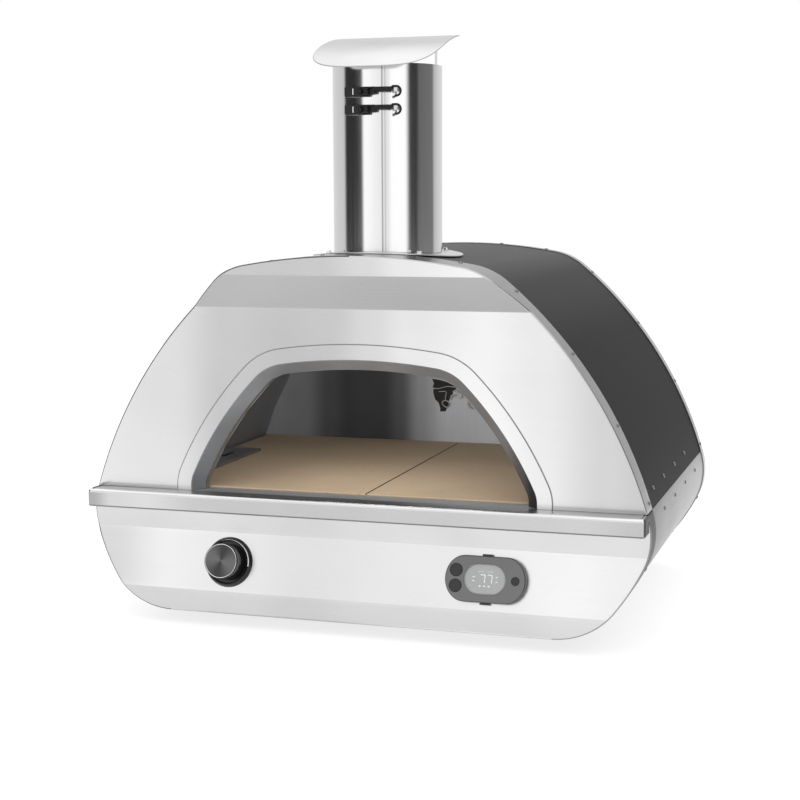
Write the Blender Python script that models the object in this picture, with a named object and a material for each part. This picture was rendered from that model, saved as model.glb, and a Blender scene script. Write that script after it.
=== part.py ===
"""Portable gas pizza oven: a steel body on four feet, with a chimney and a control face.

Metres, +Z up, X to the right as seen from the front, the mouth towards -Y.
The origin is on the floor, at the middle of the whole object. Every piece hangs from
one empty that stands in the plane of the upper front panel, so that y = 0 in a piece
is that plane and a piece's depth is measured back from it.
"""

import math

import bmesh
import bpy
from mathutils import Matrix, Vector

# Sheet metal, clearances and mesh fineness
SHEET = 0.0012                  # steel sheet of the casing
SKIN_SHEET = 0.0010             # painted skin and base shell
GAP = 0.0003                    # clearance between pieces that touch
OVERRUN = 0.010                 # how far a cut runs past the piece that it cuts
ARC_STEP = math.radians(7)      # longest turn of one facet along an outline
TURN_SIDES = 24                 # sides of a large turned piece
FINE_SIDES = 12                 # sides of a small turned piece

# Body outline, as seen from the front: tangent arcs from the flat underside up to the crown
FOOT_HEIGHT = 0.0186
BODY_DEPTH = 0.5595
CORNER_RADIUS = 0.1021
LOWER_SIDE_RADIUS = 0.2874
BELT_RADIUS = 0.0959
UPPER_SIDE_RADIUS = 0.6060
SHOULDER_RADIUS = 0.0968
CROWN_RADIUS = 0.8482
CORNER_TURN = math.radians(51.69)
LOWER_SIDE_TURN = math.radians(12.70)
BELT_TURN = math.radians(41.91)
UPPER_SIDE_TURN = math.radians(33.90)
SHOULDER_TURN = math.radians(29.69)
FLANGE_DEPTH = 0.0395           # how far the front and rear panels fold back round the skin
SKIN_TUCK = 0.012               # how far the skin's ends stay behind the panels' faces

# Front faces, from the side: the crown juts out, the control face leans back
CROWN_REACH = 0.0302
CROWN_FOLD_HEIGHT = 0.4831
BROW_FOLD_HEIGHT = 0.4376
CONTROL_TOP_HEIGHT = 0.1281
CONTROL_FOOT_HEIGHT = 0.0497
CONTROL_REACH = 0.0216          # Ledge below the mouth
LEDGE_TOP = 0.184
LEDGE_DROP = 0.0245
LEDGE_REACH = 0.0300
LEDGE_OVERHANG = 0.0020         # past the body's sides at the same height
LEDGE_CORNER_RADIUS = 0.0080
LEDGE_NOSE_RADIUS = 0.0032
SEAM_HEIGHT = 0.1833            # where the painted skin meets the steel base
LIP_HEIGHT = 0.0420             # base shell's inner lip, half of it behind the skin
LIP_MARGIN = 0.0020

# Mouth: arcs from its foot up to the crown of the arch, for the outer edge of the trim
MOUTH_FOOT_RISE = 0.0063
MOUTH_FOOT_RADIUS = 0.0607
MOUTH_SIDE_RADIUS = 0.4850
MOUTH_SHOULDER_RADIUS = 0.0874
MOUTH_TOP_RADIUS = 0.7490
MOUTH_FOOT_TURN = math.radians(24.20)
MOUTH_SIDE_TURN = math.radians(20.51)
MOUTH_SHOULDER_TURN = math.radians(36.77)
TRIM_WIDTH = 0.0201
TRIM_LAP = 0.0090               # how far the trim lies over the panel's cut edge
THROAT_INSET = 0.0150
THROAT_DEPTH = 0.0160

# Oven chamber, its floor and the space round it
WALL_SPACE = 0.0430             # from the body's outside to the chamber's outside
BACK_SPACE = 0.0500             # from the rear face to the chamber's back
CHAMBER_SHEET = 0.0010
CHAMBER_FRONT = 0.0280
CHAMBER_FLOOR = 0.1590
FLUE_HOLE_CLEARANCE = 0.0003
SHIELD_HEIGHT = 0.1290
SHIELD_MARGIN = 0.0060          # from the base shell's ends to the shield and its board
STONE_TOP = 0.1860
STONE_THICKNESS = 0.0140
STONE_JOINT = 0.0012
STONE_SIDE_GAP = 0.0030
STONE_END_GAP = 0.0006
STONE_EDGE = 0.0010             # chamfer of the stones' top edges
TRAY_SHEET = 0.0012
TRAY_INSET = 0.0040
TRAY_RIB = 0.0040
TRAY_RIB_COUNT = 5

# Burner in the left of the floor
BURNER_SIDE = 0.0390            # from the chamber's outside, at its floor, to the centre line
BURNER_START = 0.0620
BURNER_LENGTH = 0.2640
BURNER_RADIUS = 0.0110
BURNER_WALL = 0.0012
BURNER_DROP = 0.0600            # from the burner's centre line down to its mixing end
BURNER_BEND = 0.0180
PORT_WIDTH = 0.0022
PORT_SPAN = 0.0120
PORT_PITCH = 0.0150
PORT_DEPTH = 0.0050
PORT_MARGIN = 0.0300
GUARD_RISE = 0.0015             # guard's underside above the stones
GUARD_SIDE = 0.0280             # from the burner's centre line to the guard's skirt
GUARD_REACH = 0.0180            # past the burner's far end
GUARD_SLOT_WIDTH = 0.0080
GUARD_SLOT_LENGTH = 0.0500
GUARD_SLOT_PITCH = 0.0750
GUARD_SLOT_COUNT = 3
NOTCH_CLEARANCE = 0.0015
ORIFICE_RISE = 0.0100
ORIFICE_HEX = 0.0080
ORIFICE_LENGTH = 0.0160
ORIFICE_PLAY = 0.0010
PIN_RADIUS = 0.0030             # igniter and flame thermocouple
PIN_SIDE = 0.0200               # from the burner's centre line
PIN_DEPTH = 0.0500              # behind the burner's start
PIN_PITCH = 0.0240
PIN_BELOW = 0.0330
PIN_ABOVE = 0.0160
PIN_NUT_RADIUS = 0.0060
PIN_NUT_HEIGHT = 0.0050

# Probe of the thermometer, on the chamber's back wall
PROBE_X = -0.0320
PROBE_HEIGHT = 0.2600
PROBE_PLATE_WIDTH = 0.0340
PROBE_PLATE_HEIGHT = 0.0460
PROBE_PLATE_SHEET = 0.0015
PROBE_RADIUS = 0.0020
PROBE_REACH = 0.0320
PROBE_LOOP = 0.0120
PROBE_BEND = 0.0050

# Knob and gas valve, on the leaning control face
KNOB_X = -0.1843
CONTROL_HEIGHT = 0.0890         # of the knob's and the thermometer's centres
BEZEL_RADIUS = 0.0345
BEZEL_FACE_RADIUS = 0.0320
BEZEL_HEIGHT = 0.0060
BEZEL_DISH_RADIUS = 0.0292
BEZEL_DISH_FLOOR = 0.0025
BEZEL_BORE = 0.0080
KNOB_RADIUS = 0.0242
KNOB_SKIRT_RADIUS = 0.0247
KNOB_FRONT = 0.0300             # front of the knob ahead of the control face
KNOB_BACK = 0.0080              # back of the knob ahead of the control face
KNOB_EDGE = 0.0012
KNOB_HUB_RADIUS = 0.0075
KNOB_HUB_BACK = 0.0050
FACE_RADIUS = 0.0224
FACE_SHEET = 0.0010
FACE_RECESS = 0.0006
STEM_RADIUS = 0.0035
STEM_GRIP = 0.0120              # stem inside the knob
STEM_TAIL = 0.0120              # stem inside the valve
PUSH_TRAVEL = 0.0040
VALVE_WIDTH = 0.0300
VALVE_HEIGHT = 0.0280
VALVE_DEPTH = 0.0460
PLUG_RADIUS = 0.0080
PLUG_LENGTH = 0.0180
PLUG_SET_BACK = 0.0180          # plug's front behind the control face
PIPE_RADIUS = 0.0045
PIPE_BEND = 0.0120
PIPE_CLEARANCE = 0.0120         # supply pipe's centre line above the base shell
INLET_HEX_RADIUS = 0.0110
INLET_THREAD_RADIUS = 0.0075
INLET_THREAD_RISE = 0.0006
INLET_HEX_DEPTH = 0.0080
INLET_REACH = 0.0240
INLET_THREADS = 5
INLET_BORE = 0.0040

# Digital thermometer, on the control face
THERMO_X = 0.1800
THERMO_WIDTH = 0.1076
THERMO_HEIGHT = 0.0606
THERMO_END = 0.0260             # half axis of the rounded ends
THERMO_DEPTH = 0.0110
THERMO_WALL = 0.0016
THERMO_EDGE = 0.0012
CRADLE_SHEET = 0.0015
CRADLE_WIDTH = 0.0130
CRADLE_LIP = 0.0026
CRADLE_GRIP = 0.0060
WINDOW_WIDTH = 0.0557
WINDOW_HEIGHT = 0.0397
WINDOW_END = 0.0190
WINDOW_SHEET = 0.0010
WINDOW_LEDGE = 0.0015
DISPLAY_SHEET = 0.0018
BACK_SHEET = 0.0014
BOARD_SHEET = 0.0012
BOARD_MARGIN = 0.0060
CELL_RADIUS = 0.0100
CELL_HEIGHT = 0.0020
BUTTON_SIDE = 0.0390            # up and down buttons from the thermometer's centre
POWER_SIDE = 0.0405
BUTTON_RISE = 0.0102
BUTTON_RADIUS = 0.0083
POWER_RADIUS = 0.0052
BUTTON_PROUD = 0.0012
BUTTON_FLANGE = 0.0006
BUTTON_FLANGE_SHEET = 0.0008
BUTTON_CLEARANCE = 0.0004

# Chimney
PIPE_Y = 0.1345                 # chimney's axis behind the front face
SLEEVE_RADIUS = 0.0750
SLEEVE_SHEET = 0.0012
SLEEVE_TOP = 0.7608
SLIT_ANGLE = math.radians(13.7)
SLIT_WIDTH = 0.0020
FLUE_CLEARANCE = 0.0004
FLUE_SHEET = 0.0010
FLUE_DROP = 0.0080              # flue's end below the chamber's roof
FLUE_RECESS = 0.0090            # flue's top below the sleeve's top
BASE_RADIUS = 0.1040
BASE_SHEET = 0.0015

# Cap over the chimney
COLLAR_HEIGHT = 0.0220
COLLAR_SHEET = 0.0010
COLLAR_LIP = 0.0012
BRACKET_WIDTH = 0.0120
BRACKET_SHEET = 0.0015
BRACKET_LAP = 0.0140
CAP_HALF_WIDTH = 0.0900
CAP_HALF_DEPTH = 0.0953
CAP_RISE = 0.0467               # crest, along the rear edge, above the sleeve
CAP_ROLL_RADIUS = 0.3750
CAP_SHEET = 0.0015
CAP_CORNER_POWER = 3.9          # exponent of the plan's superellipse
CAP_SIDES = 40
CAP_RINGS = 5

# Draw latches across the slit of the sleeve; rises are measured from the sleeve outwards
LATCH_ANGLE = math.radians(4)
LATCH_DROP = 0.0380             # upper latch's middle, below the sleeve's top
LATCH_PITCH = 0.0235
LATCH_HALF_HEIGHT = 0.0066
LATCH_PAD_LEFT = -0.0380
LATCH_PAD_RIGHT = -0.0040
LATCH_PAD_TOP = 0.0040
LATCH_PIVOT_X = -0.0080
LATCH_PIVOT_RISE = 0.0110
LATCH_CHEEK = 0.0014
LATCH_NECK_HALF = 0.0024
LATCH_EYE = 0.0034
LATCH_PIN_RADIUS = 0.0012
LATCH_PIN_CLEARANCE = 0.0003
LATCH_LEVER_LEFT = -0.0390
LATCH_LEVER_UNDER = 0.0046
LATCH_LEVER_SHEET = 0.0026
LATCH_GRIP_LIFT = 0.0030
LATCH_GRIP_LENGTH = 0.0060
LATCH_HANDLE_END = -0.0205
LATCH_WIRE_X = -0.0165
LATCH_WIRE_RISE = 0.0098
LATCH_WIRE_RADIUS = 0.0011
LATCH_WIRE_HALF = 0.0057
LATCH_WIRE_END = 0.0365
LATCH_WIRE_BEND = 0.0030
LATCH_BOSS = 0.0030
LATCH_CATCH_START = 0.0200
LATCH_CATCH_TOP = 0.0024
LATCH_CATCH_HALF = 0.0031
LATCH_POST_SHEET = 0.0026
LATCH_POST_RISE = 0.0125

# Rear panel and feet
VENT_WIDTH = 0.1000
VENT_HEIGHT = 0.0050
VENT_PITCH = 0.0140
VENT_ROWS = 5
VENT_X = 0.1150
VENT_LOWEST = 0.0600
FOOT_RADIUS = 0.0180
FOOT_TOP_RADIUS = 0.0150
FOOT_SIDE = 0.0558              # foot centres, in from the end of the flat underside
FOOT_INSET = 0.1300             # foot centres from the front face and from the rear face
FOOT_STUD_RADIUS = 0.0025
FOOT_NUT_RADIUS = 0.0050
FOOT_NUT_HEIGHT = 0.0025


# Scene set-up

def clear_scene():
    """Remove whatever objects the open file holds."""
    for obj in list(bpy.data.objects):
        bpy.data.objects.remove(obj, do_unlink=True)


def make_material(name, colour, roughness, metallic=0.0, transmission=0.0):
    """Return a Principled material; colour is linear RGB."""
    mat = bpy.data.materials.new(name)
    mat.use_nodes = True
    shader = mat.node_tree.nodes["Principled BSDF"]
    shader.inputs["Base Color"].default_value = (*colour, 1.0)
    shader.inputs["Roughness"].default_value = roughness
    shader.inputs["Metallic"].default_value = metallic
    shader.inputs["Transmission Weight"].default_value = transmission
    mat.diffuse_color = (*colour, 1.0)
    return mat


BRUSHED = ((0.60, 0.60, 0.61), 0.32, 1.0)
DARK_PAINT = ((0.060, 0.062, 0.066), 0.48, 0.3)
CHAMBER_STEEL = ((0.36, 0.36, 0.36), 0.42, 1.0)
STONE = ((0.50, 0.36, 0.22), 0.90, 0.0)
WOOL = ((0.80, 0.78, 0.74), 0.95, 0.0)
BRASS = ((0.62, 0.44, 0.16), 0.35, 1.0)
BLACK_GLOSS = ((0.012, 0.012, 0.013), 0.22, 0.0)
BLACK_LATCH = ((0.020, 0.020, 0.022), 0.40, 0.4)
DARK_METAL = ((0.070, 0.070, 0.075), 0.30, 1.0)
GREY_PLASTIC = ((0.105, 0.105, 0.110), 0.50, 0.0)
BUTTON_RUBBER = ((0.022, 0.022, 0.024), 0.70, 0.0)
DISPLAY_GREY = ((0.34, 0.35, 0.35), 0.40, 0.0)
CLEAR = ((0.80, 0.82, 0.82), 0.05, 0.0)
CIRCUIT_GREEN = ((0.02, 0.16, 0.06), 0.50, 0.0)
CERAMIC = ((0.78, 0.76, 0.70), 0.40, 0.0)
RUBBER = ((0.020, 0.020, 0.020), 0.80, 0.0)

ROOT = None


def add_object(name, mesh, look, location=(0, 0, 0), rotation=(0, 0, 0), sharp=True):
    """Link a mesh as a node under the root empty, with its own material."""
    for polygon in mesh.polygons:
        polygon.use_smooth = True
    if sharp:
        mesh.set_sharp_from_angle(angle=math.radians(30))
    mesh.materials.clear()
    mesh.materials.append(make_material(name + "_material", *look))
    obj = bpy.data.objects.new(name, mesh)
    bpy.context.scene.collection.objects.link(obj)
    obj.parent = ROOT
    obj.location = location
    obj.rotation_euler = rotation
    return obj


# Meshes

def finish(bm):
    """Turn a bmesh into a mesh whose faces point outwards."""
    bmesh.ops.remove_doubles(bm, verts=bm.verts, dist=GAP / 100)
    bmesh.ops.recalc_face_normals(bm, faces=bm.faces)
    mesh = bpy.data.meshes.new("piece")
    bm.to_mesh(mesh)
    bm.free()
    return mesh


def prism(points, low, high, axis):
    """Extrude a closed polygon from low to high along 'X', 'Y' or 'Z'.

    The polygon's pairs are (y, z) for X, (x, z) for Y and (x, y) for Z.
    """
    place = {
        "X": lambda a, b, h: (h, a, b),
        "Y": lambda a, b, h: (a, h, b),
        "Z": lambda a, b, h: (a, b, h),
    }[axis]
    bm = bmesh.new()
    rings = []
    for level in (low, high):
        rings.append([bm.verts.new(place(a, b, level)) for a, b in points])
    bm.faces.new(rings[0])
    bm.faces.new(rings[1])
    count = len(points)
    for i in range(count):
        j = (i + 1) % count
        bm.faces.new((rings[0][i], rings[0][j], rings[1][j], rings[1][i]))
    return finish(bm)


def box(x, y, z):
    """Box from three (low, high) pairs."""
    corners = [(x[0], y[0]), (x[1], y[0]), (x[1], y[1]), (x[0], y[1])]
    return prism(corners, z[0], z[1], "Z")


def turned(profile, axis="Z", sides=TURN_SIDES):
    """Spin a closed (radius, height) profile round 'Y' or 'Z'."""
    bm = bmesh.new()
    rings = []
    for radius, height in profile:
        ring = []
        if radius < GAP / 10:
            pole = (0, height, 0) if axis == "Y" else (0, 0, height)
            ring = [bm.verts.new(pole)] * sides
        else:
            for i in range(sides):
                angle = 2 * math.pi * i / sides
                a = radius * math.cos(angle)
                b = radius * math.sin(angle)
                ring.append(bm.verts.new((a, height, b) if axis == "Y" else (a, b, height)))
        rings.append(ring)
    for k in range(len(rings)):
        lower = rings[k]
        upper = rings[(k + 1) % len(rings)]
        for i in range(sides):
            j = (i + 1) % sides
            corners = []
            for vert in (lower[i], lower[j], upper[j], upper[i]):
                if vert not in corners:
                    corners.append(vert)
            if len(corners) > 2:
                bm.faces.new(corners)
    return finish(bm)


def swept(loops, closed=False):
    """Skin a ring of loops; open loops get a flat face at each end."""
    bm = bmesh.new()
    rings = [[bm.verts.new(p) for p in loop] for loop in loops]
    count = len(rings[0])
    spans = count if closed else count - 1
    for k in range(len(rings)):
        near = rings[k]
        far = rings[(k + 1) % len(rings)]
        for i in range(spans):
            j = (i + 1) % count
            bm.faces.new((near[i], near[j], far[j], far[i]))
    if not closed:
        bm.faces.new([ring[0] for ring in rings])
        bm.faces.new([ring[-1] for ring in rings])
    return finish(bm)


def transformed(mesh, matrix):
    """Move a mesh by a matrix and return it."""
    mesh.transform(matrix)
    return mesh


def joined(meshes):
    """One mesh from several that stay separate bodies."""
    bm = bmesh.new()
    for mesh in meshes:
        bm.from_mesh(mesh)
        bpy.data.meshes.remove(mesh)
    mesh = bpy.data.meshes.new("pieces")
    bm.to_mesh(mesh)
    bm.free()
    return mesh


def combine(mesh, tools, operation):
    """Apply one exact Boolean per tool mesh and return the result."""
    base = bpy.data.objects.new("blank", mesh)
    bpy.context.scene.collection.objects.link(base)
    helpers = []
    for tool in tools:
        helper = bpy.data.objects.new("tool", tool)
        helper.display_type = 'WIRE'
        helper.hide_render = True
        bpy.context.scene.collection.objects.link(helper)
        modifier = base.modifiers.new("cut", 'BOOLEAN')
        modifier.operation = operation
        modifier.solver = 'EXACT'
        modifier.object = helper
        helpers.append(helper)
    graph = bpy.context.evaluated_depsgraph_get()
    graph.update()
    result = bpy.data.meshes.new_from_object(base.evaluated_get(graph))
    for obj in helpers + [base]:
        bpy.data.objects.remove(obj, do_unlink=True)
    return result


def cut(mesh, *tools):
    """Subtract the tools from a mesh."""
    return combine(mesh, tools, 'DIFFERENCE')


def fused(mesh, *tools):
    """Unite a mesh with the tools, which overlap it."""
    return combine(mesh, tools, 'UNION')


def bevel_edges(mesh, width, chosen, segments=2):
    """Round the edges whose two ends both satisfy chosen(point)."""
    bm = bmesh.new()
    bm.from_mesh(mesh)
    edges = [e for e in bm.edges if all(chosen(v.co) for v in e.verts)]
    bmesh.ops.bevel(bm, geom=edges, offset=width, segments=segments, profile=0.5,
                    affect='EDGES', clamp_overlap=True)
    bpy.data.meshes.remove(mesh)
    return finish(bm)


# Outlines

def arc_run(start, heading, arcs):
    """Points of a chain of tangent arcs, each a (radius, turn) pair."""
    x, z = start
    points = [(x, z)]
    for radius, turn in arcs:
        steps = max(1, math.ceil(turn / ARC_STEP))
        for k in range(1, steps + 1):
            now = heading + turn * k / steps
            points.append((x + radius * (math.sin(now) - math.sin(heading)),
                           z + radius * (math.cos(heading) - math.cos(now))))
        x, z = points[-1]
        heading += turn
    return points


def run_width(arcs, heading):
    """How far a chain of arcs travels along X."""
    points = arc_run((0, 0), heading, arcs)
    return points[-1][0]


def body_arcs(inset):
    """Arcs of the body outline from the end of its flat underside up to the crown."""
    turns = (CORNER_TURN, LOWER_SIDE_TURN, BELT_TURN, UPPER_SIDE_TURN, SHOULDER_TURN)
    turns += (math.pi - sum(turns),)
    radii = (CORNER_RADIUS, LOWER_SIDE_RADIUS, BELT_RADIUS, UPPER_SIDE_RADIUS,
             SHOULDER_RADIUS, CROWN_RADIUS)
    return [(radius - inset, turn) for radius, turn in zip(radii, turns)]


def flat_half():
    """Half width of the flat underside, which brings the outline's two halves together."""
    return -run_width(body_arcs(0), 0)


def body_half(inset):
    """Right half of the body outline, from the underside to the crown."""
    start = (flat_half(), FOOT_HEIGHT + inset)
    return [(0, FOOT_HEIGHT + inset)] + arc_run(start, 0, body_arcs(inset))


def crossing(points, level):
    """Points with one added wherever the line crosses z = level."""
    result = [points[0]]
    for (xa, za), (xb, zb) in zip(points, points[1:]):
        if (za - level) * (zb - level) < 0:
            share = (level - za) / (zb - za)
            result.append((xa + (xb - xa) * share, level))
        result.append((xb, zb))
    return result


def half_between(inset, low, high):
    """Right half of the outline between two heights."""
    points = crossing(crossing(body_half(inset), low), high)
    near = GAP / 100
    return [(x, z) for x, z in points if low - near <= z <= high + near]


def body_region(inset, low=-1, high=1):
    """Closed outline of the body between two heights."""
    right = half_between(inset, low, high)
    left = [(-x, z) for x, z in reversed(right) if x > GAP / 100]
    return right + left


def body_width_at(height, inset=0):
    """Half width of the outline at a height."""
    points = body_half(inset)
    for (xa, za), (xb, zb) in zip(points, points[1:]):
        if za <= height < zb:
            share = (height - za) / (zb - za)
            return xa + (xb - xa) * share
    return points[-1][0]


def upper_run(inset):
    """Open outline from the right seam over the crown to the left seam."""
    right = half_between(inset, SEAM_HEIGHT, body_half(inset)[-1][1])
    return right + [(-x, z) for x, z in reversed(right[:-1])]


def lower_run(inset):
    """Open outline from the right seam under the body to the left seam."""
    right = half_between(inset, -1, SEAM_HEIGHT)
    return list(reversed(right)) + [(-x, z) for x, z in right[1:]]


def mouth_arcs(inset):
    """Arcs of the mouth's edge from its foot to the top of the arch."""
    turns = (MOUTH_FOOT_TURN, MOUTH_SIDE_TURN, MOUTH_SHOULDER_TURN)
    turns += (math.pi / 2 - sum(turns),)
    radii = (MOUTH_FOOT_RADIUS, MOUTH_SIDE_RADIUS, MOUTH_SHOULDER_RADIUS, MOUTH_TOP_RADIUS)
    return [(radius - inset, turn) for radius, turn in zip(radii, turns)]


MOUTH_HALF_WIDTH = -run_width(mouth_arcs(0), math.pi / 2)


def mouth_run(inset, foot=None):
    """Open outline of the mouth from its right foot over to its left foot."""
    foot = LEDGE_TOP + GAP if foot is None else foot
    start = (MOUTH_HALF_WIDTH - inset, LEDGE_TOP + MOUTH_FOOT_RISE)
    right = [(start[0], foot)] + arc_run(start, math.pi / 2, mouth_arcs(inset))
    return right + [(-x, z) for x, z in reversed(right[:-1])]


def at_depth(points, y):
    """Place (x, z) points at one depth."""
    return [(x, y, z) for x, z in points]


def rounded_oval(width, height, end, steps=8):
    """Closed oval with straight long sides and elliptical ends, as (x, z)."""
    points = []
    straight = width / 2 - end
    for side in (1, -1):
        for k in range(steps + 1):
            angle = -math.pi / 2 + math.pi * k / steps
            points.append((side * (straight + end * math.cos(angle)),
                           side * height / 2 * math.sin(angle)))
    return points


# Faces of the front panel

def face_profile(offset):
    """(y, z) points of the front faces from top to bottom, moved back by offset."""
    top = body_half(0)[-1][1] + OVERRUN
    lean = control_lean()
    kink = offset * math.tan(lean / 2)
    brow = math.atan2(CROWN_REACH, CROWN_FOLD_HEIGHT - BROW_FOLD_HEIGHT)
    fold = offset * math.tan(brow / 2)
    return [
        (offset - CROWN_REACH, top),
        (offset - CROWN_REACH, CROWN_FOLD_HEIGHT - fold),
        (offset, BROW_FOLD_HEIGHT - fold),
        (offset, CONTROL_TOP_HEIGHT + kink * -1),
        (offset - CONTROL_REACH, CONTROL_FOOT_HEIGHT - kink),
        (offset - CONTROL_REACH, FOOT_HEIGHT - OVERRUN),
    ]


def control_lean():
    """Angle by which the control face leans back from upright."""
    return math.atan2(CONTROL_REACH, CONTROL_TOP_HEIGHT - CONTROL_FOOT_HEIGHT)


def space_ahead(offset):
    """Solid that fills everything ahead of the front faces."""
    far = -CROWN_REACH - CONTROL_REACH - OVERRUN
    profile = face_profile(offset)
    outline = profile + [(far, profile[-1][1]), (far, profile[0][1])]
    wide = body_width_at(LEDGE_TOP) + LEDGE_REACH
    return prism(outline, -wide, wide, "X")


def front_shell(low, high):
    """Front sheet with its folded rim, between two heights."""
    ahead = -CROWN_REACH - CONTROL_REACH
    blank = prism(body_region(0, low, high), ahead, FLANGE_DEPTH, "Y")
    blank = cut(blank, space_ahead(0))
    inner_low = low - OVERRUN if low > FOOT_HEIGHT else low
    inner_high = high + OVERRUN if high < CROWN_FOLD_HEIGHT else high
    core = prism(body_region(SHEET, inner_low, inner_high), ahead, FLANGE_DEPTH + OVERRUN, "Y")
    core = cut(core, space_ahead(SHEET))
    return cut(blank, core)


def control_frame(x):
    """Location and rotation of a point on the control face, local -Y facing out."""
    y = control_depth(CONTROL_HEIGHT)
    return (x, y, CONTROL_HEIGHT), (-control_lean(), 0, 0)


def control_depth(height):
    """Depth of the control face at a height."""
    share = (CONTROL_TOP_HEIGHT - height) / (CONTROL_TOP_HEIGHT - CONTROL_FOOT_HEIGHT)
    return -CONTROL_REACH * share


def to_body(mesh, x):
    """Move a mesh from the control face's frame to the body's frame."""
    location, rotation = control_frame(x)
    turn = Matrix.Rotation(rotation[0], 4, 'X')
    return transformed(mesh, Matrix.Translation(location) @ turn)


# Pieces of the body

def make_front_panels():
    crown = body_half(0)[-1][1]
    upper = front_shell(LEDGE_TOP + GAP, crown + OVERRUN)
    hole = mouth_run(TRIM_WIDTH - TRIM_LAP, LEDGE_TOP - OVERRUN)
    upper = cut(upper, prism(hole, -OVERRUN, OVERRUN, "Y"))
    add_object("front_panel_upper", upper, BRUSHED)

    lower = front_shell(FOOT_HEIGHT - OVERRUN, LEDGE_TOP - SHEET - GAP)
    bore = turned([(0, -OVERRUN), (BEZEL_BORE, -OVERRUN), (BEZEL_BORE, OVERRUN), (0, OVERRUN)],
                  "Y", FINE_SIDES)
    lower = cut(lower, to_body(bore, KNOB_X))
    add_object("front_panel_lower", lower, BRUSHED)


def make_ledge():
    wide = body_width_at(LEDGE_TOP) + LEDGE_OVERHANG
    low = LEDGE_TOP - LEDGE_DROP

    def block(inset, back):
        radius = LEDGE_CORNER_RADIUS - inset
        front = -LEDGE_REACH + inset
        half = wide - inset
        right = arc_run((half - radius, front), 0, [(radius, math.pi / 2)])
        right.append((half, back))
        plan = right + [(-x, y) for x, y in reversed(right)]
        mesh = prism(plan, low + inset, LEDGE_TOP - inset, "Z")
        nose = LEDGE_NOSE_RADIUS - inset
        near = GAP / 10
        return bevel_edges(mesh, nose, lambda p: p.z > LEDGE_TOP - inset - near
                           and p.y < back + near and not
                           (p.y > back - near and abs(p.x) < half - near))

    channel = cut(block(0, -GAP), block(SHEET, OVERRUN))
    back = CHAMBER_FRONT - GAP
    sills = []
    for half, end in ((MOUTH_HALF_WIDTH, THROAT_DEPTH),
                      (MOUTH_HALF_WIDTH - liner_inset(), back)):
        sills.append(box((-half, half), (-LEDGE_CORNER_RADIUS, end),
                         (LEDGE_TOP - SHEET, LEDGE_TOP)))
    add_object("front_ledge", fused(channel, *sills), BRUSHED)


def liner_inset():
    """Outside of the mouth's liner, in from the trim's outer edge."""
    return TRIM_WIDTH + THROAT_INSET - SHEET - GAP


def make_mouth():
    front = -GAP - SHEET
    bend = SHEET * math.tan(math.radians(22.5))
    section = [
        (0, -GAP), (0, front), (TRIM_WIDTH, front),
        (TRIM_WIDTH + THROAT_INSET, THROAT_DEPTH),
        (TRIM_WIDTH + THROAT_INSET - SHEET, THROAT_DEPTH),
        (TRIM_WIDTH - bend, -GAP),
    ]
    loops = [at_depth(mouth_run(inset), y) for inset, y in section]
    add_object("mouth_trim", swept(loops), BRUSHED)

    start = THROAT_DEPTH + GAP
    end = CHAMBER_FRONT - GAP
    section = [(liner_inset(), start), (liner_inset(), end),
               (liner_inset() + SHEET, end), (liner_inset() + SHEET, start)]
    loops = [at_depth(mouth_run(inset), y) for inset, y in section]
    add_object("mouth_liner", swept(loops), CHAMBER_STEEL)


def skin_inset():
    """Outside of the skin, which lies inside the panels' folded rims."""
    return SHEET + GAP


def make_skins():
    outer = skin_inset()
    inner = outer + SKIN_SHEET
    front = SKIN_TUCK
    back = BODY_DEPTH - SKIN_TUCK

    def sheet(run):
        return swept([at_depth(run(outer), front), at_depth(run(outer), back),
                      at_depth(run(inner), back), at_depth(run(inner), front)])

    skin = sheet(upper_run)
    skin = transformed(skin, Matrix.Translation((0, 0, GAP / 2)))
    hole = flue_bore(SLEEVE_RADIUS - SLEEVE_SHEET)
    add_object("outer_skin", cut(skin, hole), DARK_PAINT)

    shell = sheet(lower_run)
    shell = transformed(shell, Matrix.Translation((0, 0, -GAP / 2)))

    front += LIP_MARGIN
    back -= LIP_MARGIN
    low = SEAM_HEIGHT - LIP_HEIGHT / 2
    high = SEAM_HEIGHT + LIP_HEIGHT / 2
    lap = inner + GAP
    bands = ((lap, lap + SKIN_SHEET, low, high),
             (inner - SKIN_SHEET / 2, lap + SKIN_SHEET / 2, low, SEAM_HEIGHT - GAP))
    lips = []
    for near, far, foot, head in bands:
        for side in (1, -1):
            loops = []
            for inset, y in ((near, front), (near, back), (far, back), (far, front)):
                run = half_between(inset, foot, head)
                loops.append([(side * x, y, z) for x, z in run])
            lips.append(swept(loops))
    shell = fused(shell, *lips)
    holes = [upright(x, y, FOOT_STUD_RADIUS + GAP, -OVERRUN, FOOT_HEIGHT + OVERRUN)
             for x, y in foot_places()]
    add_object("base_shell", cut(shell, *holes), BRUSHED)


def flue_bore(radius):
    """Upright cutter on the chimney's axis."""
    top = SLEEVE_TOP
    bore = turned([(0, CHAMBER_FLOOR + OVERRUN), (radius, CHAMBER_FLOOR + OVERRUN),
                   (radius, top), (0, top)])
    return transformed(bore, Matrix.Translation((0, PIPE_Y, 0)))


def upright(x, y, radius, low, high, sides=FINE_SIDES):
    """Upright round bar."""
    bar = turned([(0, low), (radius, low), (radius, high), (0, high)], "Z", sides)
    return transformed(bar, Matrix.Translation((x, y, 0)))


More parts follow.
